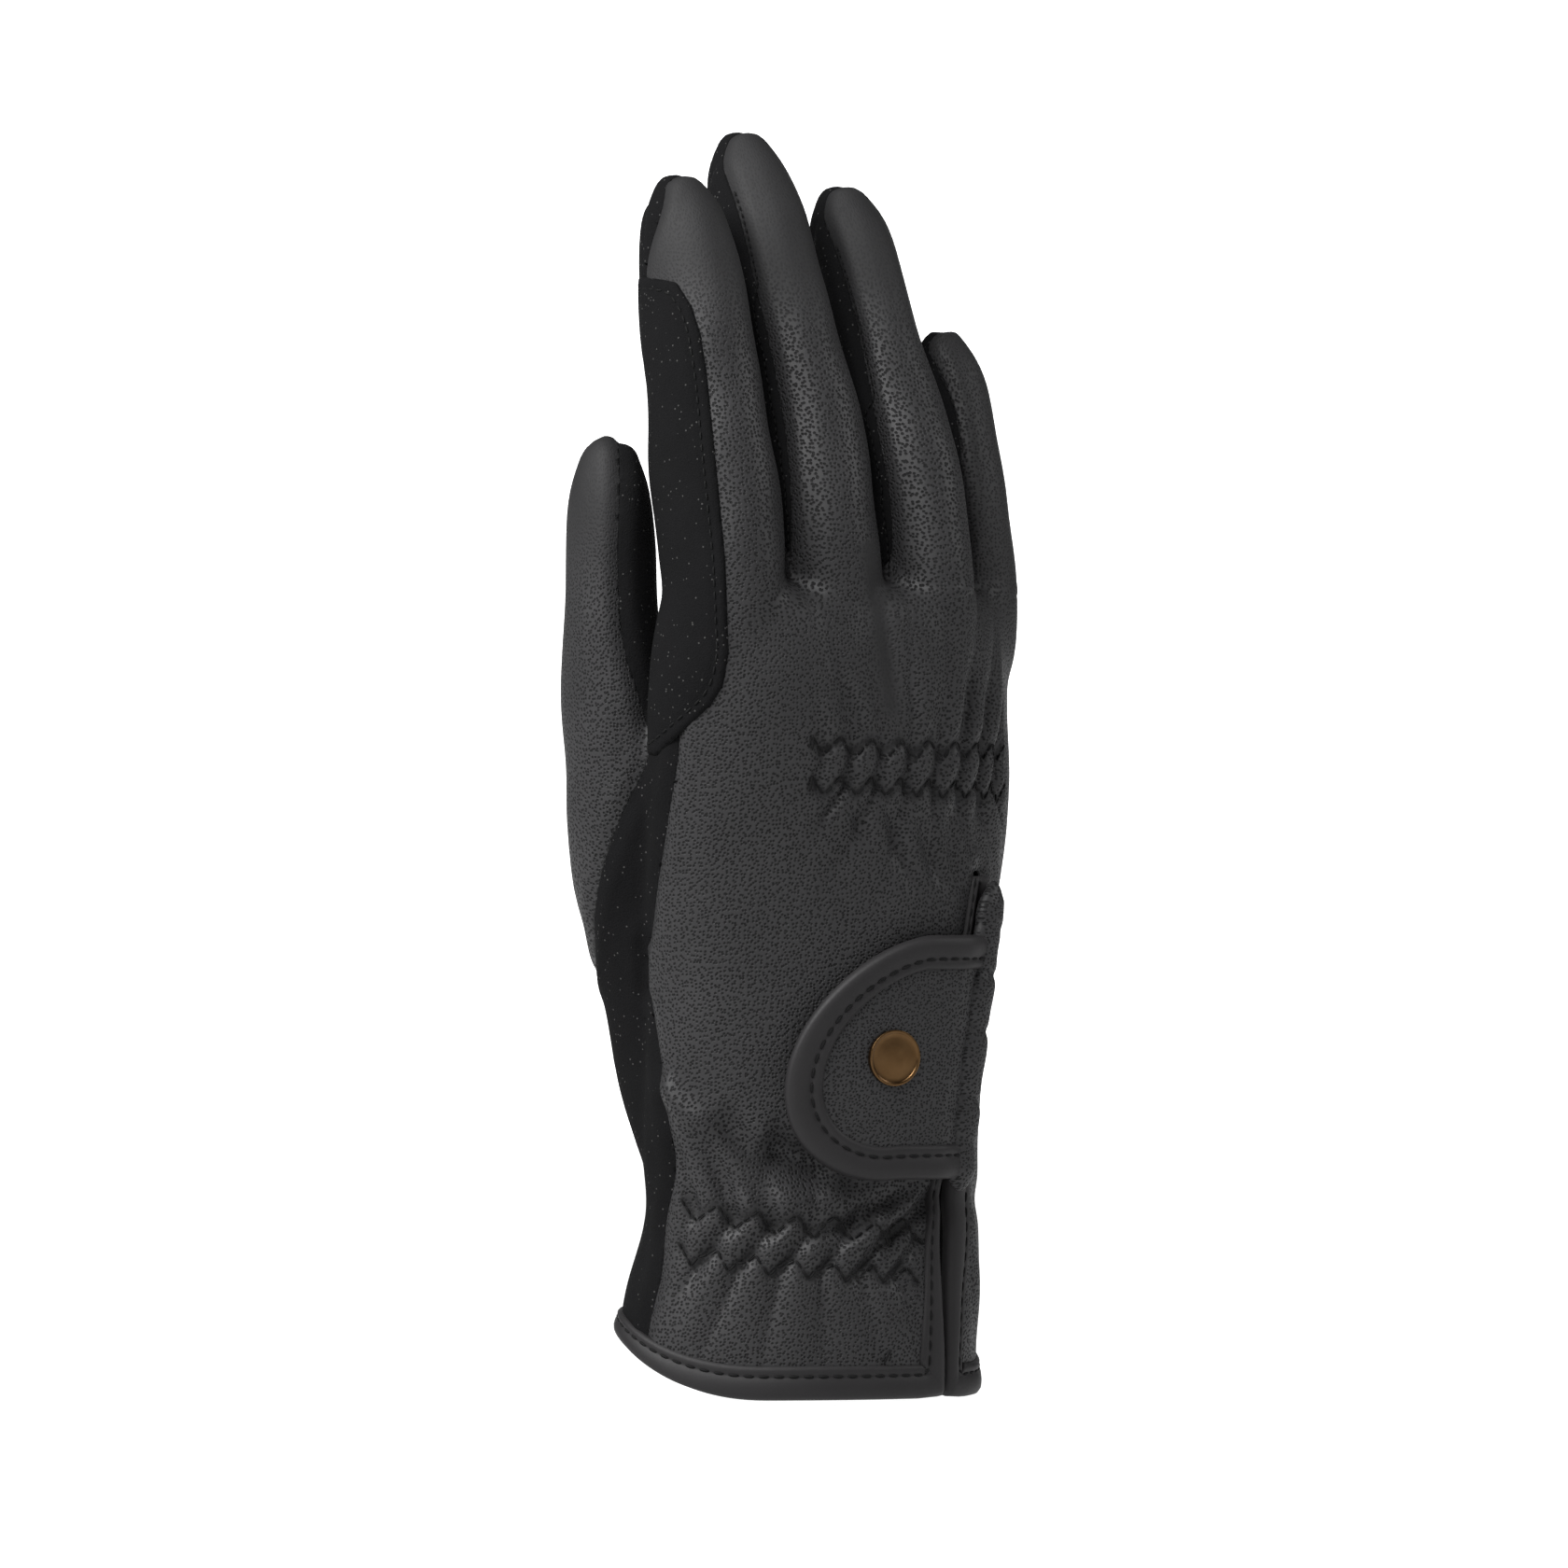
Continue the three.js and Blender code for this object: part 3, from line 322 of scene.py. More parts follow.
# Floor and backdrop, in metres
FLOOR_SIZE = 6.0
FLOOR_DROP = 0.0012
BACKDROP_SIZE = 1.6
BACKDROP_AWAY = 2.2

# Lamps round the glove: name, azimuth, elevation, distance and size in metres, watts
LAMPS = (
    ("key", -92, 40, 1.2, 0.6, 22),
    ("front", -52, 46, 1.4, 0.4, 14),
    ("edge", 62, 30, 1.2, 0.4, 4.5),
    ("top", -60, 75, 1.3, 0.5, 5),
)
LAMP_TARGET = Vector((0.0, -0.01, 0.14))
# Camera: distance and the width it sees there in metres, and the middle of its view in millimetres
CAMERA_DISTANCE = 3.0
SEEN_WIDTH = 0.3022
VIEW_RIGHT = -2.6
VIEW_AWAY = -6.0
VIEW_HEIGHT = 118.2
SKY_STRENGTH = 0.05


def columns(names, rows):
    """Rows of a table as dictionaries with the column names."""
    return [dict(zip(names, row)) for row in rows]


def look_up(table, height):
    """Values of a table at some heights, on a smooth curve through its rows."""
    table = np.asarray(table, float)
    steps = table[:, 0]
    height = np.clip(np.asarray(height, float), steps[0], steps[-1])
    i = np.clip(np.searchsorted(steps, height, side="left") - 1, 0, len(steps) - 2)
    before, low = table[np.maximum(i - 1, 0)], table[i]
    high, after = table[i + 1], table[np.minimum(i + 2, len(steps) - 1)]
    span = high[..., :1] - low[..., :1]
    t = (height[..., None] - low[..., :1]) / span
    slope_low = (high - before) / (high[..., :1] - before[..., :1]) * span
    slope_high = (after - low) / (after[..., :1] - low[..., :1]) * span
    change = high - low
    bend = t * (1 - t) * ((slope_low - change) * (1 - t) - (slope_high - change) * t)
    return np.moveaxis(low + change * t + bend, -1, 0)[1:]


def smooth_step(x, low, high):
    """0 below the low value, 1 above the high one, with a soft change between."""
    t = np.clip((x - low) / (high - low), 0, 1)
    return t * t * (3 - 2 * t)


def hem_lift(angle, rise):
    """How far a section is lifted by the slanted hem."""
    fade = np.maximum(0, 1 - rise / (0.3 * PALM_HEIGHT)) ** 1.5
    side = (1 - np.cos(angle - math.radians(-70))) / 2
    return HEM_RISE * fade * smooth_step(side, 0.12, 0.85)


def palm_oval(rise):
    """Middle, half sizes, arch, turn and squareness of the hand's section at a rise above the hem."""
    breadth, depth, across, forward, arch, turn, square = look_up(PALM_SECTIONS, rise / PALM_HEIGHT)
    return (
        across * KNUCKLE_ACROSS,
        -forward * KNUCKLE_FORWARD,
        breadth * PALM_BREADTH / 2,
        depth * PALM_DEPTH / 2,
        arch,
        -np.radians(WRIST_TURN * turn),
        square,
    )


def palm_point(angle, rise, outward=0.0):
    """Points of the hand at angles round its section and rises above the hem, this far off its surface."""
    angle, rise, outward = np.broadcast_arrays(angle, rise, outward)
    x0, y0, half_x, half_y, arch, turn, square = palm_oval(rise)
    cos, sin = np.cos(angle), np.sin(angle)
    share_x = np.sign(cos) * np.abs(cos) ** (2 / square)
    share_y = np.sign(sin) * np.abs(sin) ** (2 / square)
    bow = np.where(share_x > 0, ULNAR_ARCH, RADIAL_ARCH) * arch * share_x**2
    x = share_x * (half_x + outward)
    y = share_y * (half_y + outward) + bow
    return np.stack(
        [
            x * np.cos(turn) - y * np.sin(turn) + x0,
            x * np.sin(turn) + y * np.cos(turn) + y0,
            rise + hem_lift(angle, rise) + HEM_LIFT * (1 - rise / PALM_HEIGHT),
        ],
        -1,
    )


def place_on_hand(points):
    """Angle round the section and rise above the hem of points near the hand's surface."""
    rise = points[:, 2] - HEM_LIFT
    angle = np.zeros(len(points))
    for _ in range(6):
        x0, y0, half_x, half_y, arch, turn, square = palm_oval(rise)
        dx, dy = points[:, 0] - x0, points[:, 1] - y0
        x = dx * np.cos(turn) + dy * np.sin(turn)
        y = -dx * np.sin(turn) + dy * np.cos(turn)
        share = np.clip(x / half_x, -1.1, 1.1)
        y = y - np.where(share > 0, ULNAR_ARCH, RADIAL_ARCH) * arch * share**2
        cos = np.sign(x) * np.abs(x / half_x) ** (square / 2)
        sin = np.sign(y) * np.abs(y / half_y) ** (square / 2)
        angle = np.arctan2(sin, cos)
        rise = points[:, 2] - hem_lift(angle, rise) - HEM_LIFT * (1 - rise / PALM_HEIGHT)
    return np.where(angle > math.pi / 2, angle - 2 * math.pi, angle), rise


ARC_ANGLES = np.linspace(-1.5 * math.pi, 0.5 * math.pi, 721)
ARC_RISES = np.linspace(-10, PALM_HEIGHT, 120)


def arc_table():
    """Distance round the hand's section from the middle of its back, for a grid of rises and angles."""
    grid = palm_point(ARC_ANGLES[None, :], ARC_RISES[:, None])
    steps = np.linalg.norm(np.diff(grid, axis=1), axis=2)
    arc = np.concatenate([np.zeros((len(ARC_RISES), 1)), np.cumsum(steps, 1)], 1)
    middle = np.array([np.interp(math.radians(-110), ARC_ANGLES, row) for row in arc])
    return arc - middle[:, None]


ARC = arc_table()


def arc_of(angle, rise):
    """Distance round the section, from the middle of the back, at some angles and rises."""
    angle, rise = np.broadcast_arrays(np.asarray(angle, float), np.asarray(rise, float))
    u = np.clip((angle - ARC_ANGLES[0]) / (ARC_ANGLES[1] - ARC_ANGLES[0]), 0, len(ARC_ANGLES) - 1.001)
    v = np.clip((rise - ARC_RISES[0]) / (ARC_RISES[1] - ARC_RISES[0]), 0, len(ARC_RISES) - 1.001)
    i, j = v.astype(int), u.astype(int)
    s, t = v - i, u - j
    low = ARC[i, j] * (1 - t) + ARC[i, j + 1] * t
    high = ARC[i + 1, j] * (1 - t) + ARC[i + 1, j + 1] * t
    return low * (1 - s) + high * s


def angle_of(arc, rise):
    """Angle round the section at some distances round it."""
    arc, rise = np.broadcast_arrays(np.asarray(arc, float), np.asarray(rise, float))
    low, high = np.full(arc.shape, ARC_ANGLES[0]), np.full(arc.shape, ARC_ANGLES[-1])
    for _ in range(26):
        middle = (low + high) / 2
        short = arc_of(middle, rise) < arc
        low, high = np.where(short, middle, low), np.where(short, high, middle)
    return (low + high) / 2


def seen_on_hand(right, height):
    """Angle and rise of the hand's point that the turned view shows at this place."""
    angles = np.radians(np.linspace(-200, -20, 361))
    rises = np.full(angles.shape, float(height))
    for _ in range(5):
        rises = height - hem_lift(angles, rises) - HEM_LIFT * (1 - rises / PALM_HEIGHT)
    places = palm_point(angles, rises) @ ACROSS
    best = int(np.argmin(np.abs(places - right) + 1000 * (angles < np.radians(-185))))
    return angles[best], rises[best]


def tube(rings, tip=None):
    """Closed surface through rings of points."""
    count = rings.shape[1]
    points = [rings.reshape(-1, 3), rings[0].mean(0)[None]]
    points.append(rings[-1].mean(0)[None] if tip is None else np.asarray(tip, float)[None])
    a = np.arange((len(rings) - 1) * count).reshape(-1, count)
    b = np.roll(a, -1, 1)
    walls = np.stack([a, b, b + count, a + count], -1).reshape(-1, 4)
    first = np.arange(count)
    last = first + (len(rings) - 1) * count
    low, high = len(rings) * count, len(rings) * count + 1
    ends = [[int(y), int(x), low] for x, y in zip(first, np.roll(first, -1))]
    ends += [[int(x), int(y), high] for x, y in zip(last, np.roll(last, -1))]
    return np.vstack(points), [list(map(int, f)) for f in walls] + ends


def finger_section(name, share):
    """Middle and half sizes of a finger's section, at a share of its length."""
    f = FINGERS[name]
    curl, breadth, depth = look_up(FINGER_SECTIONS, share)
    return (
        f["across"] + f["lean"] * share,
        f["curl"] * curl - f["forward"],
        breadth * f["breadth"] / 2,
        depth * f["depth"] / 2,
    )


def thumb_section(share):
    """Middle and half sizes of the thumb's section, at a share of its length."""
    out, inward, breadth, depth = look_up(THUMB_SECTIONS, share)
    return -out * THUMB_OUT, inward * THUMB_INWARD, breadth * THUMB_BREADTH / 2, depth * THUMB_DEPTH / 2


def digit(section, root, length, steps=90, sides=56):
    """Closed form of a finger or the thumb, with rings closer together towards its tip."""
    share = np.sin(np.linspace(0, math.pi / 2, steps)) ** 1.2
    share = np.minimum(share, 0.9995)
    turn = np.linspace(0, 2 * math.pi, sides, endpoint=False)
    x, y, half_x, half_y = (v[:, None] for v in section(share))
    rings = np.stack(
        [
            x + half_x * np.cos(turn),
            y + half_y * np.sin(turn),
            np.broadcast_to((root + share * length)[:, None], (steps, sides)),
        ],
        -1,
    )
    end = section(np.array([1.0]))
    return tube(rings, (end[0][0], end[1][0], root + length))


def deselect_all():
    for other in bpy.context.selected_objects:
        other.select_set(False)


def select_only(made):
    """Selects one object alone and makes it the active one."""
    deselect_all()
    made.select_set(True)
    bpy.context.view_layer.objects.active = made


def make_object(name, points, faces):
    """A mesh object with its place in its mesh, alone in the selection."""
    mesh = bpy.data.meshes.new(name)
    mesh.from_pydata((np.asarray(points) * MM).tolist(), [], [list(map(int, f)) for f in faces])
    mesh.update()
    made = bpy.data.objects.new(name, mesh)
    bpy.context.collection.objects.link(made)
    select_only(made)
    return made


def apply_modifier(made, kind, **settings):
    """Adds a modifier with these settings and applies it."""
    modifier = made.modifiers.new(kind.title(), kind)
    for key, value in settings.items():
        setattr(modifier, key, value)
    select_only(made)
    bpy.ops.object.modifier_apply(modifier=modifier.name)


def mesh_points(made):
    """Points of a mesh, in millimetres."""
    points = np.empty(len(made.data.vertices) * 3)
    made.data.vertices.foreach_get("co", points)
    return points.reshape(-1, 3) / MM


def mesh_triangles(made):
    """Faces of a mesh as triangles of point numbers."""
    made.data.calc_loop_triangles()
    faces = np.empty(len(made.data.loop_triangles) * 3, int)
    made.data.loop_triangles.foreach_get("vertices", faces)
    return faces.reshape(-1, 3)


def normals_of(points, faces):
    """Normals at the points, as the mean of those of their triangles."""
    a, b, c = (points[faces[:, k]] for k in range(3))
    flat = np.cross(b - a, c - a)
    total = np.zeros_like(points)
    for k in range(3):
        for axis in range(3):
            total[:, axis] += np.bincount(faces[:, k], flat[:, axis], len(points))
    return total / np.maximum(np.linalg.norm(total, axis=1), 1e-12)[:, None]


def edges_of(faces):
    """Each edge of a surface of triangles once, and in how many triangles it is."""
    pairs = np.vstack([faces[:, [0, 1]], faces[:, [1, 2]], faces[:, [2, 0]]])
    return np.unique(np.sort(pairs, 1), axis=0, return_counts=True)


def relax(points, edges, factor, rounds, weight=1.0):
    """Smooths points towards the mean of their neighbours."""
    count = np.bincount(edges.ravel(), minlength=len(points))[:, None]
    weight = np.broadcast_to(np.asarray(weight, float), (len(points),))[:, None]
    for _ in range(rounds):
        total = np.zeros_like(points)
        for axis in range(3):
            total[:, axis] = np.bincount(edges[:, 0], points[edges[:, 1], axis], len(points))
            total[:, axis] += np.bincount(edges[:, 1], points[edges[:, 0], axis], len(points))
        points = points + factor * weight * (total / count - points)
    return points


def soft_noise(points, size, seed):
    """Smooth random field between about -1 and 1, with features of this size."""
    random = np.random.default_rng(seed)
    waves = random.normal(size=(14, 3))
    waves /= np.linalg.norm(waves, axis=1)[:, None]
    waves *= (math.pi / size) * random.uniform(0.7, 1.4, (14, 1))
    shift = random.uniform(0, 2 * math.pi, 14)
    return np.sin(points @ waves.T + shift).sum(1) / 4.2

LEVELS = np.arange(-20.0, 262.0, 0.5)
def seam_lines():
    """For every level: the thumb side's radial cut, and the places of the finger seams."""
    rise = np.clip(LEVELS, 0, PALM_HEIGHT)
    x0, y0, half_x, half_y, arch, turn, _ = palm_oval(rise)
    left = -look_up(BACK_SEAM, LEVELS / GLOVE_LENGTH)[0] * PALM_BREADTH
    up = smooth_step(LEVELS, 138, 151)
    share = np.clip((LEVELS - FINGER_ROOT) / FINGERS["index"]["length"], 0, 0.98)
    ix, iy, ia, ib = finger_section("index", share)

    def mix(low, high):
        return low * (1 - up) + high * up

    cx, cy, a, b, t = mix(x0, ix), mix(y0, iy), mix(half_x, ia), mix(half_y, ib), mix(turn, 0 * turn)
    axis_a = np.stack([a * np.cos(t), a * np.sin(t)], 1)
    axis_b = np.stack([-b * np.sin(t), b * np.cos(t)], 1)
    ca, cb = axis_a @ ACROSS[:2], axis_b @ ACROSS[:2]
    reach = np.hypot(ca, cb)
    aim = np.clip((left - cx * ACROSS[0] - cy * ACROSS[1]) / reach, -1, 1)
    spots = []
    for sign in (1, -1):
        turned = np.arctan2(cb, ca) + sign * np.arccos(aim)
        spots.append(axis_a * np.cos(turned)[:, None] + axis_b * np.sin(turned)[:, None])
    nearer = (spots[0] @ AWAY[:2] < spots[1] @ AWAY[:2])[:, None]
    out = np.where(nearer, spots[0], spots[1])
    lines = {"cx": cx, "cy": cy, "ox": out[:, 0], "oy": out[:, 1]}
    for i, name in enumerate(NAMES):
        f = FINGERS[name]
        share = np.clip((LEVELS - FINGER_ROOT) / f["length"], 0, 1)
        x, y, _, half = finger_section(name, np.minimum(share, 0.99))
        inner, outer, palm = look_up(FINGER_SEAMS, share)
        inner = inner * f["open"]
        half = np.maximum(half, 0.2 * f["depth"])
        bow = y0 + ULNAR_ARCH * arch * np.maximum(0, (x - x0) / (PALM_BREADTH / 2)) ** 2
        lines[f"x{i}"] = x
        lines[f"inner{i}"] = mix(bow, y - inner * half)
        lines[f"outer{i}"] = mix(bow, y - outer * half)
        lines[f"palm{i}"] = mix(bow, y + palm * half)
    share = np.clip((LEVELS - FINGER_ROOT) / FINGERS["little"]["length"], 0, 0.95)
    _, ly, _, lb = finger_section("little", share)
    edge = y0 - half_x * np.sin(-turn) + ULNAR_ARCH * arch * 0.8
    lines["end_y"] = mix(edge + 0.35 * half_y, ly + 0.35 * lb)
    return lines


SEAM_LINES = seam_lines()


def seam_fields(points):
    """Signed distances to the edges of the back's leather and of the palm, positive on each."""
    x, y, z = points.T
    line = {key: np.interp(z, LEVELS, value) for key, value in SEAM_LINES.items()}
    length = np.hypot(line["ox"], line["oy"])
    radial = (-line["oy"] * (x - line["cx"]) + line["ox"] * (y - line["cy"])) / length
    leather, palm = line["outer0"].copy(), line["palm0"].copy()
    for i in range(1, 4):
        half_before, half = FINGERS[NAMES[i - 1]]["breadth"] / 2, FINGERS[NAMES[i]]["breadth"] / 2
        crotch = (line[f"x{i - 1}"] + half_before + line[f"x{i}"] - half) / 2
        beyond = x > crotch
        t = np.clip((x - line[f"x{i}"] + half) / (2 * half), 0, 1)
        if i == 3:
            t = t * 0
        leather = np.where(beyond, line[f"inner{i}"] * (1 - t) + line[f"outer{i}"] * t, leather)
        palm = np.where(beyond, line[f"palm{i}"], palm)
    last = x > line["x3"]
    leather = np.where(last, line["end_y"], leather)
    palm = np.where(last, line["end_y"], palm)
    thumb_side = x < line["cx"] + 0.5 * line["ox"]
    return np.where(thumb_side, radial, leather - y), np.where(thumb_side, -radial, y - palm)


def thumb_field(points):
    """Signed distance to the thumb's seam, positive on the thumb."""
    above = 0.2 * THUMB_LENGTH
    share = np.array([(THUMB_CROTCH + above - THUMB_ROOT) / THUMB_LENGTH])
    tx, ty, half_x, half_y = (float(v[0]) for v in thumb_section(share))
    index = FINGERS["index"]
    away = np.array([tx - index["across"], ty + index["forward"]])
    away /= np.linalg.norm(away)
    half = 1 / math.hypot(away[0] / half_x, away[1] / half_y)
    lean = math.radians(THUMB_SEAM_LEAN)
    spot = np.array([tx, ty]) - away * (half + 0.3 + above * math.tan(lean))
    start = np.array([spot[0], spot[1], THUMB_CROTCH])
    fields = []
    for tilt in (-lean, math.radians(THUMB_SEAM_TILT)):
        normal = np.array([*(away * math.cos(tilt)), math.sin(tilt)])
        fields.append((points - start) @ normal)
    return np.minimum(fields[0], fields[1])


def thumb_leather_field(points):
    """Signed distance to the seam along the thumb, positive on its leather."""
    share = (points[:, 2] - THUMB_ROOT) / THUMB_LENGTH
    seam = -look_up(THUMB_SEAM, share)[0] * THUMB_OUT
    return seam - points @ ACROSS


def patch_field(points):
    """Signed distance to the patch's outline in the turned view, positive inside it."""
    corners = np.vstack([PATCH_CORNERS, PATCH_CORNERS[:1]])
    place = np.stack([points @ ACROSS, points[:, 2]], 1)
    best = np.full(len(points), 1e9)
    inside = np.zeros(len(points), bool)
    for a, b in zip(corners[:-1], corners[1:]):
        along = b - a
        t = np.clip(((place - a) @ along) / (along @ along), 0, 1)
        best = np.minimum(best, np.linalg.norm(place - a - t[:, None] * along, axis=1))
        crosses = (a[1] > place[:, 1]) != (b[1] > place[:, 1])
        with np.errstate(divide="ignore", invalid="ignore"):
            where = a[0] + (place[:, 1] - a[1]) * along[0] / along[1]
        inside ^= crosses & (place[:, 0] < where)
    return np.where(inside, best, -best)


def vent_stop(rise):
    """Gap, and width of the back and the outer binding, at a rise."""
    return look_up(VENT_STOPS, rise)


def vent_half(rise):
    """Half the width that is cut out of the leather for the vent."""
    return vent_stop(rise)[0] / 2 + BINDING_BULGE


def zigzag(row):
    """Start of a row round the hand, and functions for its height and its tooth at a distance round."""
    angle, rise = seen_on_hand(row["right"], row["height"])
    start = float(arc_of(angle, rise))
    end = start + row["pitch"] * row["teeth"]

    def level(arc):
        steps = (np.asarray(arc, float) - start) / row["pitch"]
        drop = row["sink"] * steps
        if row["level"]:
            drop = row["sink"] * (1 - np.exp(-row["level"] * 2 * np.maximum(steps, 0))) / (row["level"] * 2)
        return row["height"] - drop

    def height(arc):
        steps = (np.asarray(arc, float) - start) / row["pitch"]
        part = steps - np.floor(steps)
        tooth = np.where(part < 0.45, part / 0.45, (1 - part) / 0.55)
        return level(arc) + row["tooth"] * (0.5 - tooth)

    return {"start": start, "end": end, "pitch": row["pitch"], "level": level, "height": height}


KNUCKLES = [zigzag(row) for row in columns(ZIGZAG_COLUMNS, KNUCKLE_ROWS)]
WRISTS = [zigzag(row) for row in columns(ZIGZAG_COLUMNS, WRIST_ROWS)]


def ridge(phase):
    """A puffed fold with a sharp valley at whole phases."""
    return np.abs(np.sin(math.pi * phase)) ** 0.8 - 0.62


def row_gap(row, arc, z):
    """Distance from the thread of a sewn row."""
    return np.abs(z - row["height"](arc)) * TOOTH_SLANT


def row_relief(arc, z, rows, shift, above, below, fan_up, fan_down, depth):
    """Puffs between two sewn rows, and the folds that fan out above and below them."""
    top, low = rows
    start, pitch = top["start"], top["pitch"]
    centre = (top["start"] + top["end"]) / 2
    z_top, z_low = top["level"](arc), low["level"](arc)
    up, down = np.maximum(z - z_top, 0), np.maximum(z_low - z, 0)
    t = np.clip((z - z_low) / (z_top - z_low), 0, 1)
    phase = (arc - shift * (t - 1) - start) / pitch - 0.45
    fan = np.where(z > z_top, 1 / (1 + up / fan_up), 1 / (1 + down / fan_down))
    spread = (centre + (arc - centre) * fan - start) / pitch
    phase = np.where(z > z_top, spread - 0.45, np.where(z < z_low, spread + shift / pitch - 0.45, phase))
    inside = smooth_step(arc, top["start"] - 1, top["start"] + 5)
    inside = inside * (1 - smooth_step(arc, top["end"] - 2, top["end"] + 1))
    between = smooth_step(z, z_low - 1, z_low + 1) * (1 - smooth_step(z, z_top - 1, z_top + 1))
    reach = between + (z > z_top) * np.exp(-((up / above) ** 1.5))
    reach = reach + (z < z_low) * np.exp(-((down / below) ** 1.5))
    relief = depth * ridge(phase) * np.clip(reach, 0, 1) * inside
    for row in rows:
        gap = row_gap(row, arc, z)
        on_row = smooth_step(arc, row["start"] - 0.5, row["start"] + 1) * (arc < row["end"])
        relief = relief - 0.55 * np.exp(-((gap / 0.85) ** 2)) * on_row
        relief = relief - 0.2 * depth * np.exp(-((gap / 2.4) ** 2)) * on_row
    return relief


def fold_relief(points):
    """Ridges and valleys of the single folds."""
    place = np.stack([points @ ACROSS, points[:, 2]], 1)
    relief = np.zeros(len(points))
    for fold in columns(FOLD_COLUMNS, FOLDS):
        a = np.array([fold["right_a"], fold["height_a"]])
        b = np.array([fold["right_b"], fold["height_b"]])
        along = b - a
        t = ((place - a) @ along) / (along @ along)
        cross = place - a - t[:, None] * along
        side = along[[1, 0]] * (1, -1) / np.linalg.norm(along)
        bend = 0.8 * np.sin(math.pi * np.clip(t, 0, 1)) * fold["width"]
        distance = np.abs(cross @ side - bend * 0.5)
        taper = smooth_step(t, -0.12, 0.2) * (1 - smooth_step(t, 0.55, 1.15))
        relief += fold["depth"] * np.exp(-((distance / fold["width"]) ** 2)) * taper
    return relief


def relief_of(points, normals, angle, rise, on_thumb):
    """How far the leather and suede stand off the smooth form, with every fold and gather."""
    arc = arc_of(angle, rise)
    z = points[:, 2]
    facing = smooth_step(-(normals @ AWAY), -0.15, 0.35) * (1 - on_thumb)
    degrees = np.degrees(angle)
    back = smooth_step(-degrees, -25, 5) * smooth_step(degrees, -195, -180)
    relief = 0.6 * soft_noise(points, size=23, seed=3) + 0.2 * soft_noise(points, size=9, seed=5)
    relief = relief * smooth_step(z, 2, 14)
    knuckle = row_relief(arc, z, KNUCKLES, **KNUCKLE_GATHERS)
    wrist = row_relief(arc, z, WRISTS, **WRIST_GATHERS)
    wrist = wrist * smooth_step(z, 3, 11) * (1 - smooth_step(z, 46, 58))
    relief = relief + (knuckle * (z > 80) + wrist * (z < 70)) * back * (1 - on_thumb)
    relief = relief + fold_relief(points) * facing
    outer = smooth_step(degrees, -40, -28) * (1 - smooth_step(degrees, 5, 22))
    band = np.exp(-(((z - 27) / 15) ** 2))
    relief = relief + 0.55 * outer * band * ridge((arc + 0.35 * (z - 27)) / 7.2) * smooth_step(z, 3, 10)
    notch = np.exp(-(((z - 38) / 3.4) ** 2)) * smooth_step(degrees, -60, -30)
    relief = relief - 0.7 * notch * (degrees < 60) * (1 - on_thumb)
    return relief


def grain_shown(points, arc, thumb):
    """How clearly the grain shows: less at the tips, the outer side, the long crease and the rows. The
    leather finish also darkens these places; in the crease, along the rows and on the outer side that is
    painted shade.
    """
    x, _, z = points.T
    tip = smooth_step(z, 196, 222) + smooth_step(thumb, 0, 2) * smooth_step(z, 150, 176)
    turning = smooth_step(x - 25, 0, 20) * smooth_step(z, 120, 165)
    crease = points @ ACROSS - 19.7 + 0.138 * (z - 126)
    crease = np.exp(-((crease / 2.0) ** 2)) * smooth_step(z, 128, 134) * (z < 165)
    sewn = 0
    for row in KNUCKLES + WRISTS:
        on_row = (arc >= row["start"]) & (arc <= row["end"])
        sewn = sewn + on_row * np.exp(-((row_gap(row, arc, z) / 0.9) ** 2))
    return np.clip(1 - 0.85 * tip - 0.5 * turning - 0.9 * crease - 0.85 * sewn, 0, 1)


# The finished form and the lines that the stitches follow, kept from one operator to the next
FORM = {}


def skin_place(points, angle, rise, thumb):
    """Where each point lies on the laid-out leather, round the hand or the finger and up it."""
    round_hand = arc_of(angle, rise)
    round_it = round_hand
    on_finger = smooth_step(points[:, 2], 143, 158)
    best = np.full(len(points), 1e9)
    for name in NAMES:
        f = FINGERS[name]
        share = np.clip((points[:, 2] - FINGER_ROOT) / f["length"], 0, 1)
        x, y, _, _ = finger_section(name, share)
        apart = np.abs(points[:, 0] - x)
        nearer = apart < best
        best = np.minimum(best, apart)
        turned = np.arctan2(points[:, 0] - x, y - points[:, 1]) * (f["breadth"] + f["depth"]) / 4
        root = (apart < 2) & (points[:, 1] < y) & (np.abs(points[:, 2] - 147) < 3)
        turned = turned + np.mean((round_hand - turned)[root])
        round_it = np.where(nearer, round_hand * (1 - on_finger) + turned * on_finger, round_it)
    x, y, _, _ = thumb_section(np.clip((points[:, 2] - THUMB_ROOT) / THUMB_LENGTH, 0, 1))
    turn = np.arctan2(points[:, 0] - x, y - points[:, 1])
    round_it = np.where(thumb > 0, turn * (THUMB_BREADTH + THUMB_DEPTH) / 3.4 - 200, round_it)
    return np.stack([round_it, points[:, 2], 0 * round_it], 1) * MM


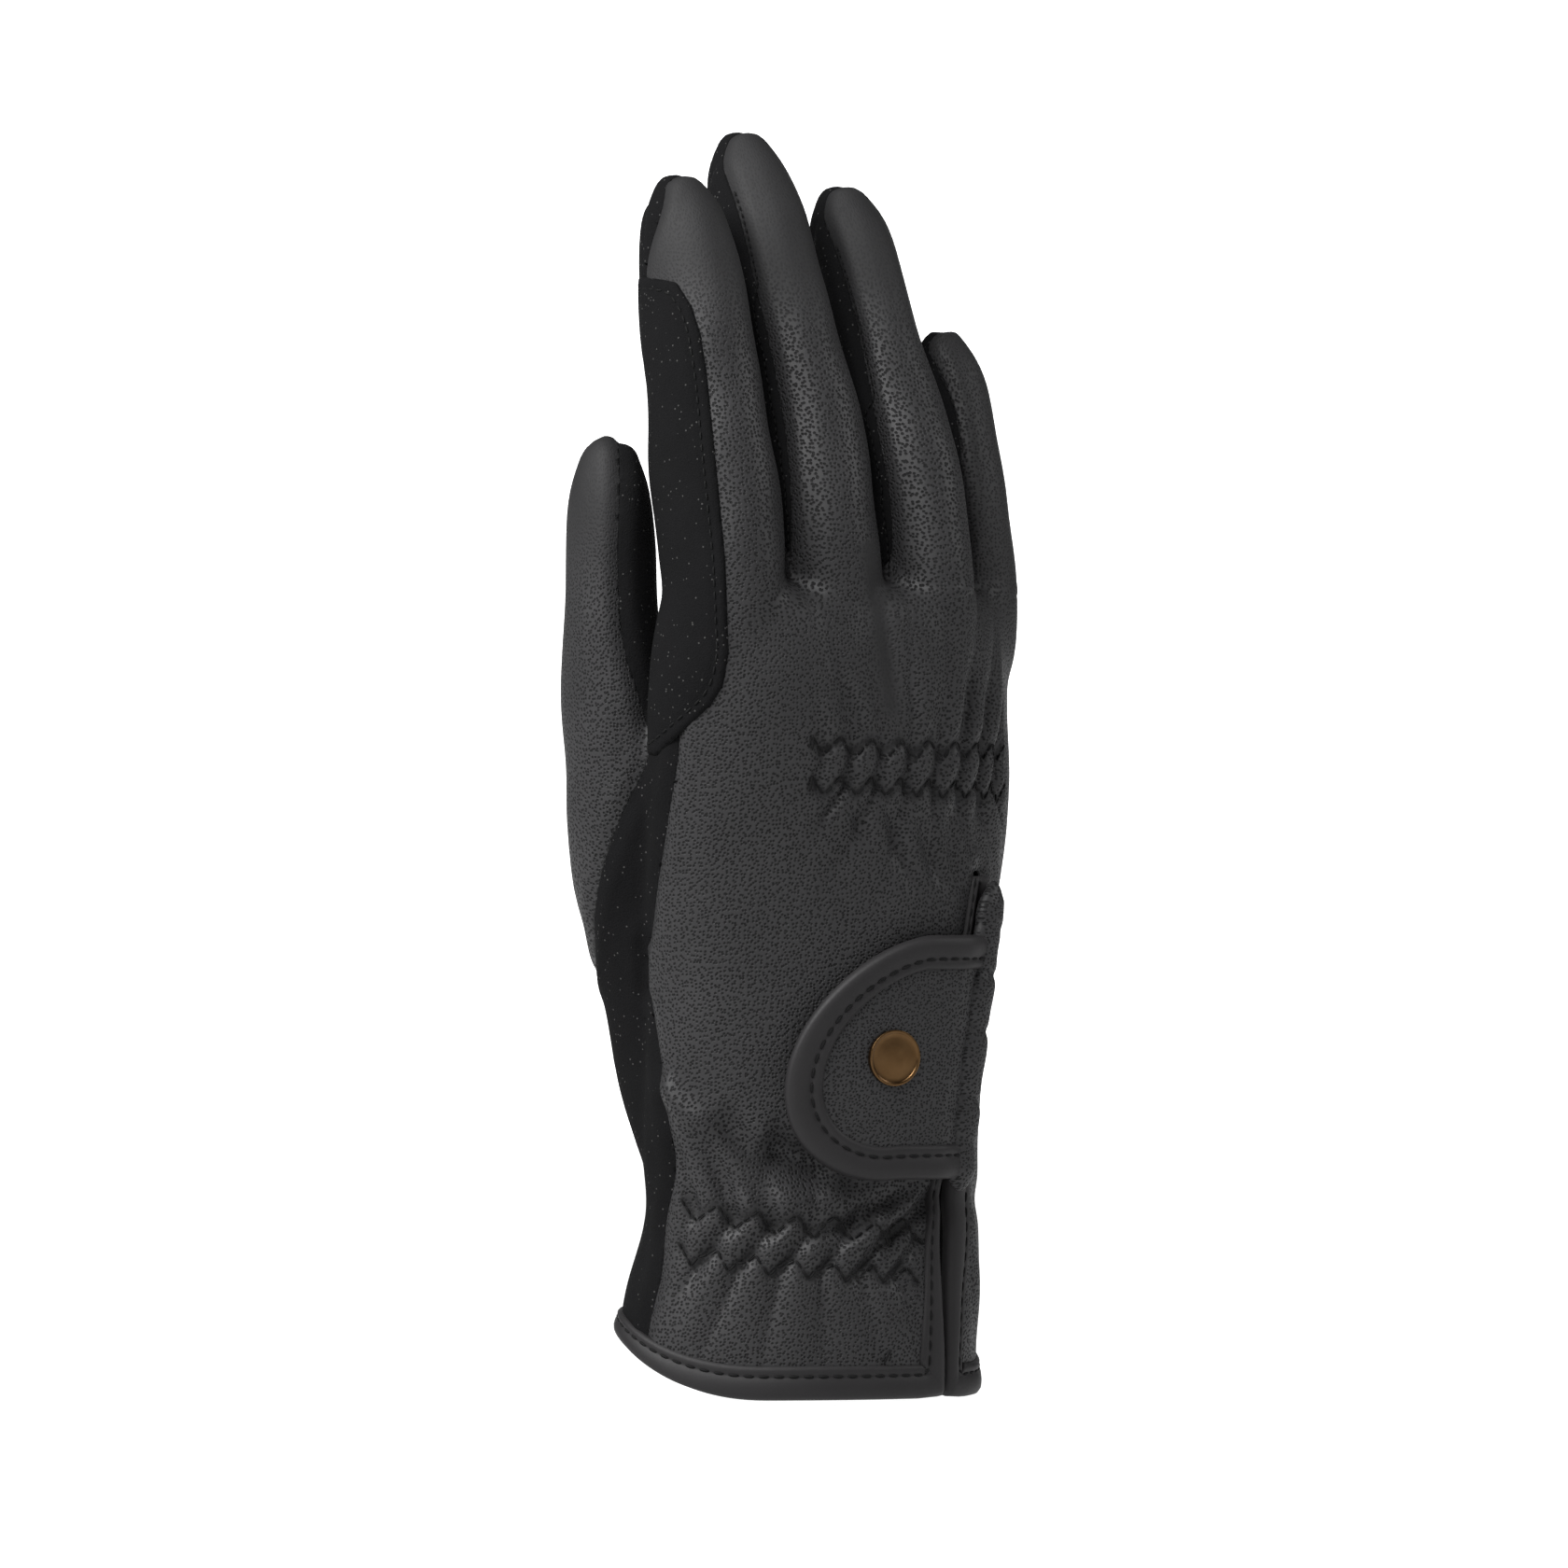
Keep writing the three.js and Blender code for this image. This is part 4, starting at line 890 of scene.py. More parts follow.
def master_form(voxel):
    """Makes the whole outer form, blended at the knuckles, crotches and thumb, with its folds."""
    angles = np.radians(np.arange(0, 360, 3.0))
    rises = np.concatenate([np.linspace(-16, 150, 120), np.linspace(151, PALM_HEIGHT, 10)])
    points, faces = tube(palm_point(angles[None, :], rises[:, None]))
    parts = [(points, faces)]
    for name in NAMES:
        parts.append(digit(partial(finger_section, name), FINGER_ROOT, FINGERS[name]["length"]))
    parts.append(digit(thumb_section, THUMB_ROOT, THUMB_LENGTH))
    start, all_points, all_faces = 0, [], []
    for points, faces in parts:
        all_points.append(points)
        all_faces += [[i + start for i in face] for face in faces]
        start += len(points)
    form = make_object("glove_form", np.vstack(all_points), all_faces)
    apply_modifier(form, "REMESH", mode="VOXEL", voxel_size=voxel, adaptivity=0.0)
    points, faces = mesh_points(form), mesh_triangles(form)
    bpy.data.objects.remove(form, do_unlink=True)
    edges, _ = edges_of(faces)
    for factor in (0.5, -0.53) * 6:
        points = relax(points, edges, factor, 1)
    thumb = thumb_field(points)
    crotch = np.exp(-(((points[:, 2] - 149) / 9) ** 2)) * smooth_step(-thumb, -2, 4)
    web = np.exp(-((thumb / 5) ** 2)) * (points[:, 2] < 132)
    points = relax(points, edges, 0.5, 30, np.clip(crotch + web, 0, 1))
    normals = normals_of(points, faces)
    if (normals * (points - points.mean(0))).sum() < 0:
        faces, normals = faces[:, ::-1], -normals
    angle, rise = place_on_hand(points)
    on_thumb = smooth_step(thumb, -3, 1)
    shift = relief_of(points, normals, angle, rise, on_thumb)
    leather, palm = seam_fields(points)
    arc = arc_of(angle, rise)
    vent = np.abs(arc - arc_of(VENT_ANGLE, rise)) - vent_half(rise)
    vent = np.where(angle > math.radians(20), 50, vent)
    open_vent = np.maximum(vent, rise - VENT_TOP)
    FORM.update(
        faces=faces,
        data={
            "point": points + normals * shift[:, None],
            "smooth": points,
            "normal": normals,
            "leather": leather[:, None],
            "palm": palm[:, None],
            "thumb": thumb[:, None],
            "thumb_leather": thumb_leather_field(points)[:, None],
            "rise": rise[:, None],
            "vent": open_vent[:, None],
            "patch": patch_field(points)[:, None],
            "deep": (points @ AWAY)[:, None],
            "grain": grain_shown(points, arc, thumb)[:, None],
            "skin": skin_place(points, angle, rise, thumb),
        },
    )
    FORM["tree"] = BVHTree.FromPolygons(FORM["data"]["point"].tolist(), faces.tolist())


def keep_side(data, faces, field):
    """Part of a surface where a field is positive, cut cleanly through the triangles on its edge."""
    value = field[:, 0]
    plus = value > 0
    count = plus[faces].sum(1)
    whole = faces[count == 3]
    mixed = faces[(count > 0) & (count < 3)]
    lone_plus = plus[mixed].sum(1) == 1
    lone = np.where(plus[mixed] == lone_plus[:, None], 1, 0).argmax(1)
    a = mixed[np.arange(len(mixed)), lone]
    b = mixed[np.arange(len(mixed)), (lone + 1) % 3]
    c = mixed[np.arange(len(mixed)), (lone + 2) % 3]
    pairs = np.vstack([np.stack([a, b], 1), np.stack([a, c], 1)])
    keys, index = np.unique(np.sort(pairs, 1), axis=0, return_inverse=True)
    index = index.ravel()
    va, vb = value[keys[:, 0]], value[keys[:, 1]]
    t = (va / (va - vb))[:, None]
    total = len(value)
    data = {key: np.vstack([v, v[keys[:, 0]] * (1 - t) + v[keys[:, 1]] * t]) for key, v in data.items()}
    ab, ac = index[: len(mixed)] + total, index[len(mixed) :] + total
    single = np.stack([a, ab, ac], 1)[lone_plus]
    rest = ~lone_plus
    pair_one = np.stack([ab, b, c], 1)[rest]
    pair_two = np.stack([ab, c, ac], 1)[rest]
    faces = np.vstack([whole, single, pair_one, pair_two])
    used, faces = np.unique(faces, return_inverse=True)
    return {key: v[used] for key, v in data.items()}, faces.reshape(-1, 3)


def cut(*sides):
    """Part of the master form where every named field, with its sign, is positive."""
    data, faces = FORM["data"], FORM["faces"]
    for name, sign in sides:
        data, faces = keep_side(data, faces, sign * data[name])
    return data, faces


def outline_of(faces):
    """Edges of a surface that belong to one triangle only."""
    edges, count = edges_of(faces)
    return edges[count == 1]


def distance_to(points, others, reach):
    """Distance of each point to the nearest of the others, and no more than the reach."""
    tree = KDTree(len(others))
    for i, other in enumerate(others):
        tree.insert(other, i)
    tree.balance()
    low, high = others.min(0) - reach, others.max(0) + reach
    near = ((points > low) & (points < high)).all(1)
    found = np.full(len(points), reach)
    for i in np.flatnonzero(near):
        found[i] = min(reach, tree.find(points[i])[2])
    return found


def sew(data, faces, sink, width=1.3, swell=0.25):
    """Draws a panel's sewn edges in, and swells it a little beside them."""
    rim = np.unique(outline_of(faces))
    free = (data["rise"][rim, 0] < 0.05) | ((data["vent"][rim, 0] < 0.05) & (data["rise"][rim, 0] < VENT_TOP))
    rim = rim[~free]
    if not len(rim):
        return data["point"]
    away = distance_to(data["smooth"], data["smooth"][rim], 6.0)
    shift = swell * np.exp(-(((away - 2.4 * width) / (1.2 * width)) ** 2))
    shift = shift - sink * np.exp(-((away / width) ** 1.6))
    return data["point"] + data["normal"] * shift[:, None]


def add_attribute(made, name, values):
    """Keeps one number, or one place, for every point of a mesh."""
    place = values.ndim == 2
    layer = made.data.attributes.new(name, "FLOAT_VECTOR" if place else "FLOAT", "POINT")
    numbers = np.ascontiguousarray(values, dtype=np.float32).ravel()
    layer.data.foreach_set("vector" if place else "value", numbers)


def lay_out(made, along):
    """Lays a small leather piece out flat along one level direction."""
    points = mesh_points(made)
    add_attribute(made, "skin", np.stack([points @ along, points[:, 2], 0 * points[:, 2]], 1) * MM)
    add_attribute(made, "grain", np.ones(len(points)))


def finish_piece(made, finish, slot, *nodes):
    """Gives a piece its finish, rides it on the glove and lets it stand for its nodes."""
    made.data.materials.clear()
    made.data.materials.append(finish)
    select_only(made)
    bpy.ops.object.shade_smooth()
    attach(made, BODY)
    if nodes:
        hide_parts(*nodes)
    return made


def panel(name, data, faces, thickness, finish, slot, sink=0.55):
    """A sewn panel of the glove, with its thickness."""
    points = sew(data, faces, sink)
    made = make_object(name, points, faces)
    add_attribute(made, "grain", data["grain"][:, 0])
    add_attribute(made, "skin", data["skin"])
    apply_modifier(made, "SOLIDIFY", thickness=thickness * MM, offset=-1.0, use_rim=True)
    return finish_piece(made, finish, slot, name)


class Value:
    """A socket of a finish. Arithmetic on it adds Math nodes."""

    def __init__(self, finish, socket):
        self.finish = finish
        self.socket = socket

    def math(self, operation, *values, clamp=False):
        sockets = dict(enumerate(values))
        return self.finish.node("ShaderNodeMath", {"operation": operation, "use_clamp": clamp}, sockets)

    def __add__(self, other):
        return self.math("ADD", self, other)

    def __sub__(self, other):
        return self.math("SUBTRACT", self, other)

    def __rsub__(self, other):
        return self.math("SUBTRACT", other, self)

    def __mul__(self, other):
        return self.math("MULTIPLY", self, other)

    __radd__ = __add__
    __rmul__ = __mul__

    def clamped(self):
        return self.math("ADD", self, 0.0, clamp=True)

    def above(self, limit):
        return self.math("GREATER_THAN", self, limit)


class Finish:
    """A material made from nodes."""

    def __init__(self, name):
        self.material = bpy.data.materials.new(name)
        self.material.use_nodes = True
        self.tree = self.material.node_tree
        self.tree.nodes.clear()

    def node(self, kind, settings=None, sockets=None, out=0):
        """Adds a node: its settings first, then the numbers, colours or links of its sockets."""
        made = self.tree.nodes.new(kind)
        for key, value in (settings or {}).items():
            setattr(made, key, value)
        for key, value in (sockets or {}).items():
            target = made.inputs[key]
            if isinstance(value, Value):
                self.tree.links.new(value.socket, target)
            else:
                target.default_value = (*value, 1.0) if target.type == "RGBA" else value
        return Value(self, made.outputs[out]) if made.outputs else None

    def coordinates(self):
        """Place on the glove, in metres."""
        return self.node("ShaderNodeTexCoord", out="Object")

    def attribute(self, name, out="Fac"):
        return self.node("ShaderNodeAttribute", {"attribute_name": name}, out=out)

    def noise(self, size, detail=3.0, vector=None):
        """Cloudy pattern with patches of this size in millimetres."""
        sockets = {"Vector": vector or self.coordinates(), "Scale": 1 / (size * MM), "Detail": detail}
        return self.node("ShaderNodeTexNoise", None, sockets, out="Fac")

    def cells(self, size, vector=None, flat=False, random=1.0, out="Distance"):
        """Cells of this size in millimetres, in space or on a flat layout."""
        sockets = {"Vector": vector or self.coordinates(), "Scale": 1 / (size * MM), "Randomness": random}
        space = {"voronoi_dimensions": "2D" if flat else "3D"}
        return self.node("ShaderNodeTexVoronoi", space, sockets, out=out)

    def blend(self, factor, low, high):
        """Mix of two colours."""
        return self.node("ShaderNodeMix", {"data_type": "RGBA"}, {0: factor, 6: low, 7: high}, out=2)

    def surface(self, height=None, height_mm=0.1, **sockets):
        """The finished material. Its relief, where it has one, is this many millimetres high."""
        values = {}
        for key, value in sockets.items():
            values[key.replace("_", " ").title().replace("Ior", "IOR")] = value
        if height is not None:
            bump = {"Height": height, "Strength": 1.0, "Distance": height_mm * MM}
            values["Normal"] = self.node("ShaderNodeBump", None, bump, out="Normal")
        shader = self.node("ShaderNodeBsdfPrincipled", None, values)
        self.node("ShaderNodeOutputMaterial", None, {"Surface": shader})
        return self.material


def leather_finish(name, colours, grain_size):
    """Pebbled leather: round pits in a paler net, with smooth stretched places. The dark bottoms of the pits
    are painted shade.
    """
    finish = Finish(name)
    place = finish.coordinates()
    warp = finish.noise(2.6, 2.0, place)
    skin = finish.attribute("skin", "Vector")
    pits = finish.cells(grain_size, skin, flat=True, random=0.85)
    pit = ((0.39 - pits) * 5.5).clamped()
    fine = finish.noise(0.22, 2.0, place)
    broad = finish.noise(14.0, 3.0, place)
    shown = finish.attribute("grain")
    patchy = ((warp - 0.25) * 2.2).clamped()
    depth = pit * shown * (patchy * 0.25 + 0.75)
    worn = ((broad - 0.3) * 2.0).clamped()
    net = finish.blend(worn, colours.leather_net, colours.leather_high)
    # Smooth places are darkened towards the pit-shade colour: darker tips, and painted shade in the long
    # crease, along the sewn rows and on the outer side.
    net = finish.blend(shown * 0.5 + 0.5, colours.leather_pit_shade, net)
    # Painted shade: the pits are darkened towards the pit-shade colour as deep as they sink.
    base = finish.blend(depth.clamped(), net, colours.leather_pit_shade)
    rough = 0.67 - 0.2 * shown + 0.06 * broad + 0.3 * depth
    height = 1.0 - depth + 0.12 * fine
    return finish.surface(height, 0.16, base_color=base, roughness=rough, specular_ior_level=0.23)


def suede_finish(name, colours):
    """Matte brushed suede with a few pale fibres."""
    finish = Finish(name)
    place = finish.coordinates()
    nap = finish.noise(0.35, 4.0, place)
    shade = finish.noise(9.0, 3.0, place)
    lit = (nap * 0.7 + shade * 0.5 - 0.1).clamped()
    tone = finish.blend(lit, colours.suede_low, colours.suede_high)
    spot = finish.cells(0.8, place, out="Distance")
    pick = finish.cells(0.8, place, out="Color")
    speck = pick.above(0.72) * (0.22 - spot).above(0.0)
    base = finish.blend(speck * 0.8, tone, colours.fibre)
    return finish.surface(nap, 0.16, base_color=base, roughness=0.95, specular_ior_level=0.06)


def binding_finish(name, colours):
    """Smooth leather with a soft sheen."""
    finish = Finish(name)
    place = finish.coordinates()
    fine = finish.noise(0.5, 3.0, place)
    broad = finish.noise(8.0, 2.0, place)
    base = finish.blend(broad, colours.binding_low, colours.binding_high)
    return finish.surface(fine, 0.03, base_color=base, roughness=0.5 + 0.15 * fine, specular_ior_level=0.22)


def thread_finish(name, colours):
    """Dull twisted thread, darker where its twist sinks and lighter where it stands up, as painted shade and
    painted highlight.
    """
    finish = Finish(name)
    twist = finish.noise(0.3, 2.0)
    # Painted shade and highlight: the colour follows the same twist that makes the relief.
    base = finish.blend(twist, colours.thread_low, colours.thread_high)
    return finish.surface(twist, 0.05, base_color=base, roughness=0.7, specular_ior_level=0.12)


def pad_finish(name, colours):
    """Looped cloth."""
    finish = Finish(name)
    loops = finish.cells(0.5)
    base = finish.blend(loops, colours.suede_low, colours.suede_high)
    return finish.surface(loops, 0.3, base_color=base, roughness=0.95)


def bronze_finish(name, colours):
    """Dark brushed bronze, worn lighter in places."""
    finish = Finish(name)
    brushed = finish.noise(0.25, 3.0)
    worn = finish.noise(3.0, 3.0)
    base = finish.blend(worn, colours.bronze_low, colours.bronze_high)
    return finish.surface(brushed, 0.012, base_color=base, metallic=1.0, roughness=0.26 + 0.14 * worn)


def paper_finish(name, pale, glow):
    """Plain paper that is lit by itself, so that no lamp has to reach it."""
    glowing = {"emission_color": (1.0, 1.0, 1.0), "emission_strength": glow}
    return Finish(name).surface(base_color=(pale, pale, pale), roughness=0.9, **glowing)


def colour(name, description, default):
    return bpy.props.FloatVectorProperty(
        name=name, description=description, default=default, size=3, subtype="COLOR", min=0.0, max=1.0
    )


def length(name, description, default):
    return bpy.props.FloatProperty(
        name=name, description=description, default=default * MM, unit="LENGTH", min=0.0001, max=0.05
    )


class GloveSizes(bpy.types.PropertyGroup):
    """Sizes a maker would change."""

    voxel: length("Surface step", "Size of the faces that the folds are drawn with", 0.9)
    skin: length("Leather thickness", "Thickness of the leather panels", 1.2)
    suede: length("Suede thickness", "Thickness of the suede panels", 1.1)
    binding: length("Binding width", "Width of the rolled binding on its outer face", 5.6)
    stitch: length("Stitch length", "Length of one visible stitch", 2.1)
    stitch_gap: length("Stitch pitch", "Distance from one stitch to the next", 2.9)
    thread: length("Thread thickness", "Thickness of the sewing thread", 0.55)
    grain: length("Grain size", "Distance between the pits of the grain", 0.78)


class GloveColours(bpy.types.PropertyGroup):
    """Colours of the glove's finishes."""

    leather_net: colour("Leather", "Paler net of the grain", (0.0185, 0.0182, 0.0191))
    leather_high: colour("Leather, worn", "Paler places of the leather", (0.024, 0.0236, 0.0247))
    # Painted shade at the bottom of the pits; the smooth places are also darkened towards it.
    leather_pit_shade: colour("Leather pits", "Bottom of the pits", (0.0008, 0.0008, 0.0009))
    suede_low: colour("Suede, dark", "Shaded nap", (0.003, 0.003, 0.0032))
    suede_high: colour("Suede, light", "Raised nap", (0.0076, 0.0076, 0.008))
    fibre: colour("Pale fibre", "Stray pale fibres in the suede", (0.055, 0.054, 0.053))
    binding_low: colour("Binding, dark", "Shaded binding", (0.0104, 0.0098, 0.0104))
    binding_high: colour("Binding, light", "Lit binding", (0.014, 0.0132, 0.014))
    # Painted shade and highlight of the twist: dark where it sinks, light where it stands up.
    thread_low: colour("Thread, dark", "Dark side of the thread's twist", (0.003, 0.003, 0.003))
    thread_high: colour("Thread, light", "Light side of the thread's twist", (0.006, 0.006, 0.0063))
    bronze_low: colour("Badge, dark", "Darker bronze of the badge", (0.06, 0.032, 0.013))
    bronze_high: colour("Badge, light", "Lighter bronze of the badge", (0.12, 0.07, 0.032))


def onto_surface(points, tree, lift):
    """Nearest places on a surface, lifted off it, with its normals there."""
    found, normals = [], []
    for point in points:
        spot, normal, _, _ = tree.find_nearest(Vector(point))
        found.append(np.array(spot) + lift * np.array(normal))
        normals.append(np.array(normal))
    return np.array(found), np.array(normals)


def even_steps(path, pitch):
    """Points along a path, evenly spaced and about a pitch apart."""
    path = np.asarray(path, float)
    run = np.concatenate([[0], np.cumsum(np.linalg.norm(np.diff(path, axis=0), axis=1))])
    count = max(1, int(round(run[-1] / pitch)))
    where = np.linspace(0, run[-1], count + 1)
    return np.stack([np.interp(where, run, path[:, k]) for k in range(3)], 1)


def stitch_shape(sides=6):
    """One stitch along +X round its middle, one long and one thick, with pointed ends."""
    stops = ((-0.47, 0.55), (-0.3, 0.95), (0.0, 1.0), (0.3, 0.95), (0.47, 0.55))
    turn = np.linspace(0, 2 * math.pi, sides, endpoint=False)
    rings = [[(x, 0.5 * r * math.cos(t), 0.5 * r * math.sin(t)) for t in turn] for x, r in stops]
    points = [p for ring in rings for p in ring] + [(-0.5, 0, 0), (0.5, 0, 0)]
    faces = []
    for i in range(len(rings) - 1):
        for j in range(sides):
            a, b = i * sides + j, i * sides + (j + 1) % sides
            faces.append((a, b, b + sides, a + sides))
    low, high = len(points) - 2, len(points) - 1
    last = (len(rings) - 1) * sides
    for j in range(sides):
        faces.append((low, (j + 1) % sides, j, j))
        faces.append((last + j, last + (j + 1) % sides, high, high))
    return np.array(points), faces


def stitches(runs, sizes, pitch=None, long=None, thick=None, dip=0.12):
    """Stitches along runs of points with normals, as one mesh. Each run is (points, normals)."""
    shape, shape_faces = stitch_shape()
    pitch = pitch or sizes.stitch_gap / MM
    long = long or sizes.stitch / MM
    thick = thick or sizes.thread / MM
    points, faces, start = [], [], 0
    for path, normals in runs:
        path = np.asarray(path)
        spots = even_steps(path, pitch)
        tree = KDTree(len(path))
        for i, point in enumerate(path):
            tree.insert(point, i)
        tree.balance()
        for a, b in zip(spots[:-1], spots[1:]):
            middle = (a + b) / 2
            along = b - a
            reach = np.linalg.norm(along)
            if reach < 1e-6:
                continue
            along = along / reach
            up = np.asarray(normals[tree.find(middle)[1]])
            up = up - (up @ along) * along
            up = up / max(np.linalg.norm(up), 1e-9)
            side = np.cross(up, along)
            long_here = min(long, reach * 0.86)
            bow = up * (0.5 - dip) * thick * (1 - (2 * shape[:, :1]) ** 4)
            made = middle + shape[:, :1] * long_here * along + shape[:, 1:2] * thick * side
            made = made + shape[:, 2:3] * thick * 0.8 * up + bow
            points.append(made)
            faces += [[i + start for i in dict.fromkeys(face)] for face in shape_faces]
            start += len(shape)
    return np.vstack(points), faces


# Points of the binding's section in its groove, and below that
GROOVE = 4
UNDER_GROOVE = 14


def binding_section(width, top, bottom):
    """Rounded section folded over an edge: distance in from the edge, and height off the leather."""
    inner = [(width, top - 0.15), (width - 0.25, top + 0.45), (width - 0.9, top + 0.78)]
    groove = [(width - 1.7, top + 0.72), (width - 2.1, top + 0.52), (width - 2.5, top + 0.72)]
    bulge = [(width - 3.3, top + 1.02), (0.9, top + 1.12), (-0.2, top + 1.0), (-0.85, top + 0.55)]
    edge = [(-1.15, (top + bottom) / 2), (-0.85, bottom - 0.5), (-0.2, bottom - 0.9)]
    under = [(0.9, bottom - 1.0), (width - 1.6, bottom - 0.8), (width - 1.2, bottom + 0.1)]
    return np.array(inner + groove + bulge + edge + under)


def groove_line(rings):
    """Groove of a binding, where its stitches lie, with the normals there."""
    line = rings[:, GROOVE]
    normals = line - rings[:, UNDER_GROOVE]
    return line, normals / np.linalg.norm(normals, axis=1)[:, None]


def sweep(stops, section, relief):
    """Bar along an edge of the glove. Stops hold angle, rise, how the section turns inward, and its width."""
    angle, rise, back, up, width = (np.array([stop[k] for stop in stops])[:, None] for k in range(5))
    inward, height = section[None, :, 0], section[None, :, 1]
    inward = np.where(inward > 0, inward * width / section[:, 0].max(), inward)
    arc = arc_of(angle, rise) + back * inward
    rises = rise + up * inward
    angles = angle_of(arc, rises)
    wrapped = np.where(np.abs(back * inward) < 1e-9, angle, angles)
    return palm_point(wrapped, rises, height + relief[:, None])


def vent_edge(rise, side):
    """Angle of the vent's edge on its back side, -1, or its outer side, 1."""
    return float(angle_of(arc_of(VENT_ANGLE, rise) + side * vent_half(rise), rise))


def turned_back(angle):
    """The same direction, within the range that distances round the hand are known for."""
    return np.where(angle < -1.5 * math.pi, angle + 2 * math.pi, angle)


def edge_relief(angle, rise):
    """Relief of the leather along an edge."""
    points = palm_point(angle, rise)
    step = palm_point(angle, rise, 1.0) - points
    normals = step / np.maximum(np.linalg.norm(step, axis=1), 1e-9)[:, None]
    return relief_of(points, normals, angle, rise, np.zeros(len(angle)))


def tab_place(distance, rise, height):
    """A point of the tab: distance from the vent towards the thumb, rise, and height off the back."""
    angle = angle_of(arc_of(VENT_ANGLE, rise) - distance, rise)
    return palm_point(angle, rise, height)


def tab_outline(inset, count=60):
    """Outline of the tab from its upper to its lower corner, as (distance, rise)."""
    half = TAB_HEIGHT / 2 - inset
    turn = np.radians(np.linspace(90, -90, count))
    reach = TAB_ROUND - inset
    level = TAB_MIDDLE - TAB_DROOP * np.cos(turn) + half * np.sin(turn)
    round_end = np.stack([TAB_STRAIGHT + reach * np.cos(turn), level], 1)
    start = np.linspace(0.3, TAB_STRAIGHT, 12, endpoint=False)
    top = np.stack([start, np.full(12, TAB_MIDDLE + half)], 1)
    low = np.stack([start[::-1], np.full(12, TAB_MIDDLE - half)], 1)
    return np.vstack([top, round_end, low])


def tab_height(distance, rise, level):
    """Height of the tab off the back: it dips towards its round end and bows between its edges."""
    share = np.clip(distance / (TAB_STRAIGHT + TAB_ROUND), 0, 1)
    across = (rise - TAB_MIDDLE) / (TAB_HEIGHT / 2)
    tucked = 1.4 * (1 - smooth_step(distance, 0.0, 7.0))
    return level - 0.9 * share**1.5 + 0.35 * (1 - across**2) - tucked


def tab_plate(inset, bottom, top, rows=26, rings=34):
    """Plate inside the tab's outline, between two heights, with rounded edges."""
    outline = tab_outline(inset, 3 * rings)
    middle = np.array([0.45 * (TAB_STRAIGHT + TAB_ROUND), TAB_MIDDLE])
    shares = np.sin(np.linspace(0, math.pi / 2, rows))
    tops, lows = [], []
    for share in shares[1:]:
        ring = middle + (outline - middle) * share
        round_off = 0.35 * smooth_step(np.full(len(ring), share), 0.94, 1.0)
        tops.append(tab_place(ring[:, 0], ring[:, 1], tab_height(ring[:, 0], ring[:, 1], top) - round_off))
        lows.append(tab_place(ring[:, 0], ring[:, 1], tab_height(ring[:, 0], ring[:, 1], bottom) + round_off))
    return tube(np.array(lows + tops[::-1]))


def glove_settings():
    return bpy.context.scene.glove_sizes, bpy.context.scene.glove_colours


FINISHES = {}


def finishes():
    """Each finish, made once."""
    if not FINISHES:
        sizes, colours = glove_settings()
        grain = sizes.grain / MM
        FINISHES["leather"] = leather_finish("pebbled_leather", colours, grain)
        FINISHES["tab"] = leather_finish("tab_leather", colours, grain * 0.88)
        FINISHES["suede"] = suede_finish("black_suede", colours)
        FINISHES["binding"] = binding_finish("smooth_binding", colours)
        FINISHES["thread"] = thread_finish("black_thread", colours)
        FINISHES["pad"] = pad_finish("hook_pad_cloth", colours)
        FINISHES["bronze"] = bronze_finish("dark_bronze", colours)
    return FINISHES


class GLOVE_OT_panels(bpy.types.Operator):
    """Shape the filled glove and sew it from its leather and suede panels"""

    bl_idname = "glove.panels"
    bl_label = "Panels"

    def execute(self, context):
        sizes, _ = glove_settings()
        master_form(sizes.voxel)
        made = finishes()
        hand = (("thumb", -1), ("rise", 1), ("vent", 1))
        skin, suede = sizes.skin / MM, sizes.suede / MM
        panel("back_panel", *cut(*hand, ("leather", 1)), skin, made["leather"], "leather")
        palm = (*hand, ("leather", -1), ("palm", 1))
        panel("palm_panel", *cut(*palm), suede, made["suede"], "suede")
        for left, right in zip(NAMES[:-1], NAMES[1:]):
            data, faces = cut(*hand, ("leather", -1), ("palm", -1))
            x = data["smooth"][:, :1]
            data, faces = keep_side(data, faces, x - FINGERS[left]["across"])
            data, faces = keep_side(data, faces, FINGERS[right]["across"] - data["smooth"][:, :1])
            panel(f"fourchette_{left}_{right}", data, faces, suede, made["suede"], "suede", 0.4)
        thumb = (("thumb", 1), ("rise", 1))
        panel("thumb_back", *cut(*thumb, ("thumb_leather", 1)), skin, made["leather"], "leather")
        panel("thumb_palm", *cut(*thumb, ("thumb_leather", -1)), suede, made["suede"], "suede")
        return {"FINISHED"}


class GLOVE_OT_patch(bpy.types.Operator):
    """Lay the suede patch over the thumb side of the index finger"""

    bl_idname = "glove.patch"
    bl_label = "Index patch"

    def execute(self, context):
        slope = FINGERS["index"]["curl"] * math.cos(VIEW_TURN) / FINGERS["index"]["length"]
        data, faces = cut(("thumb", -1), ("patch", 1))
        back = PATCH_BACK + slope * (data["smooth"][:, 2:] - FINGER_ROOT) - data["deep"]
        data, faces = keep_side(data, faces, back)
        rim = np.unique(outline_of(faces))
        away = distance_to(data["smooth"], data["smooth"][rim], 4.0)
        lift = 0.15 + 0.75 * (1 - np.exp(-away / 0.5)) - 0.3 * np.exp(-(((away - 2.1) / 0.6) ** 2))
        made = make_object("index_patch", data["point"] + data["normal"] * lift[:, None], faces)
        add_attribute(made, "grain", data["grain"][:, 0])
        apply_modifier(made, "SOLIDIFY", thickness=0.9 * MM, offset=-1.0, use_rim=True)
        finish_piece(made, finishes()["suede"], "suede", "index_patch")
        FORM["patch"] = (data, faces, lift)
        return {"FINISHED"}


def binding_corner(angle, side, wide, full):
    """Stops of the binding as it turns from the vent's edge into the hem."""
    return [
        (angle, 3.2, side, 0.35, wide),
        (angle, 1.1, side * 0.9, 0.75, wide),
        (angle + side * 0.02, 0.2, side * 0.75, 0.95, (wide + full) / 2),
    ]


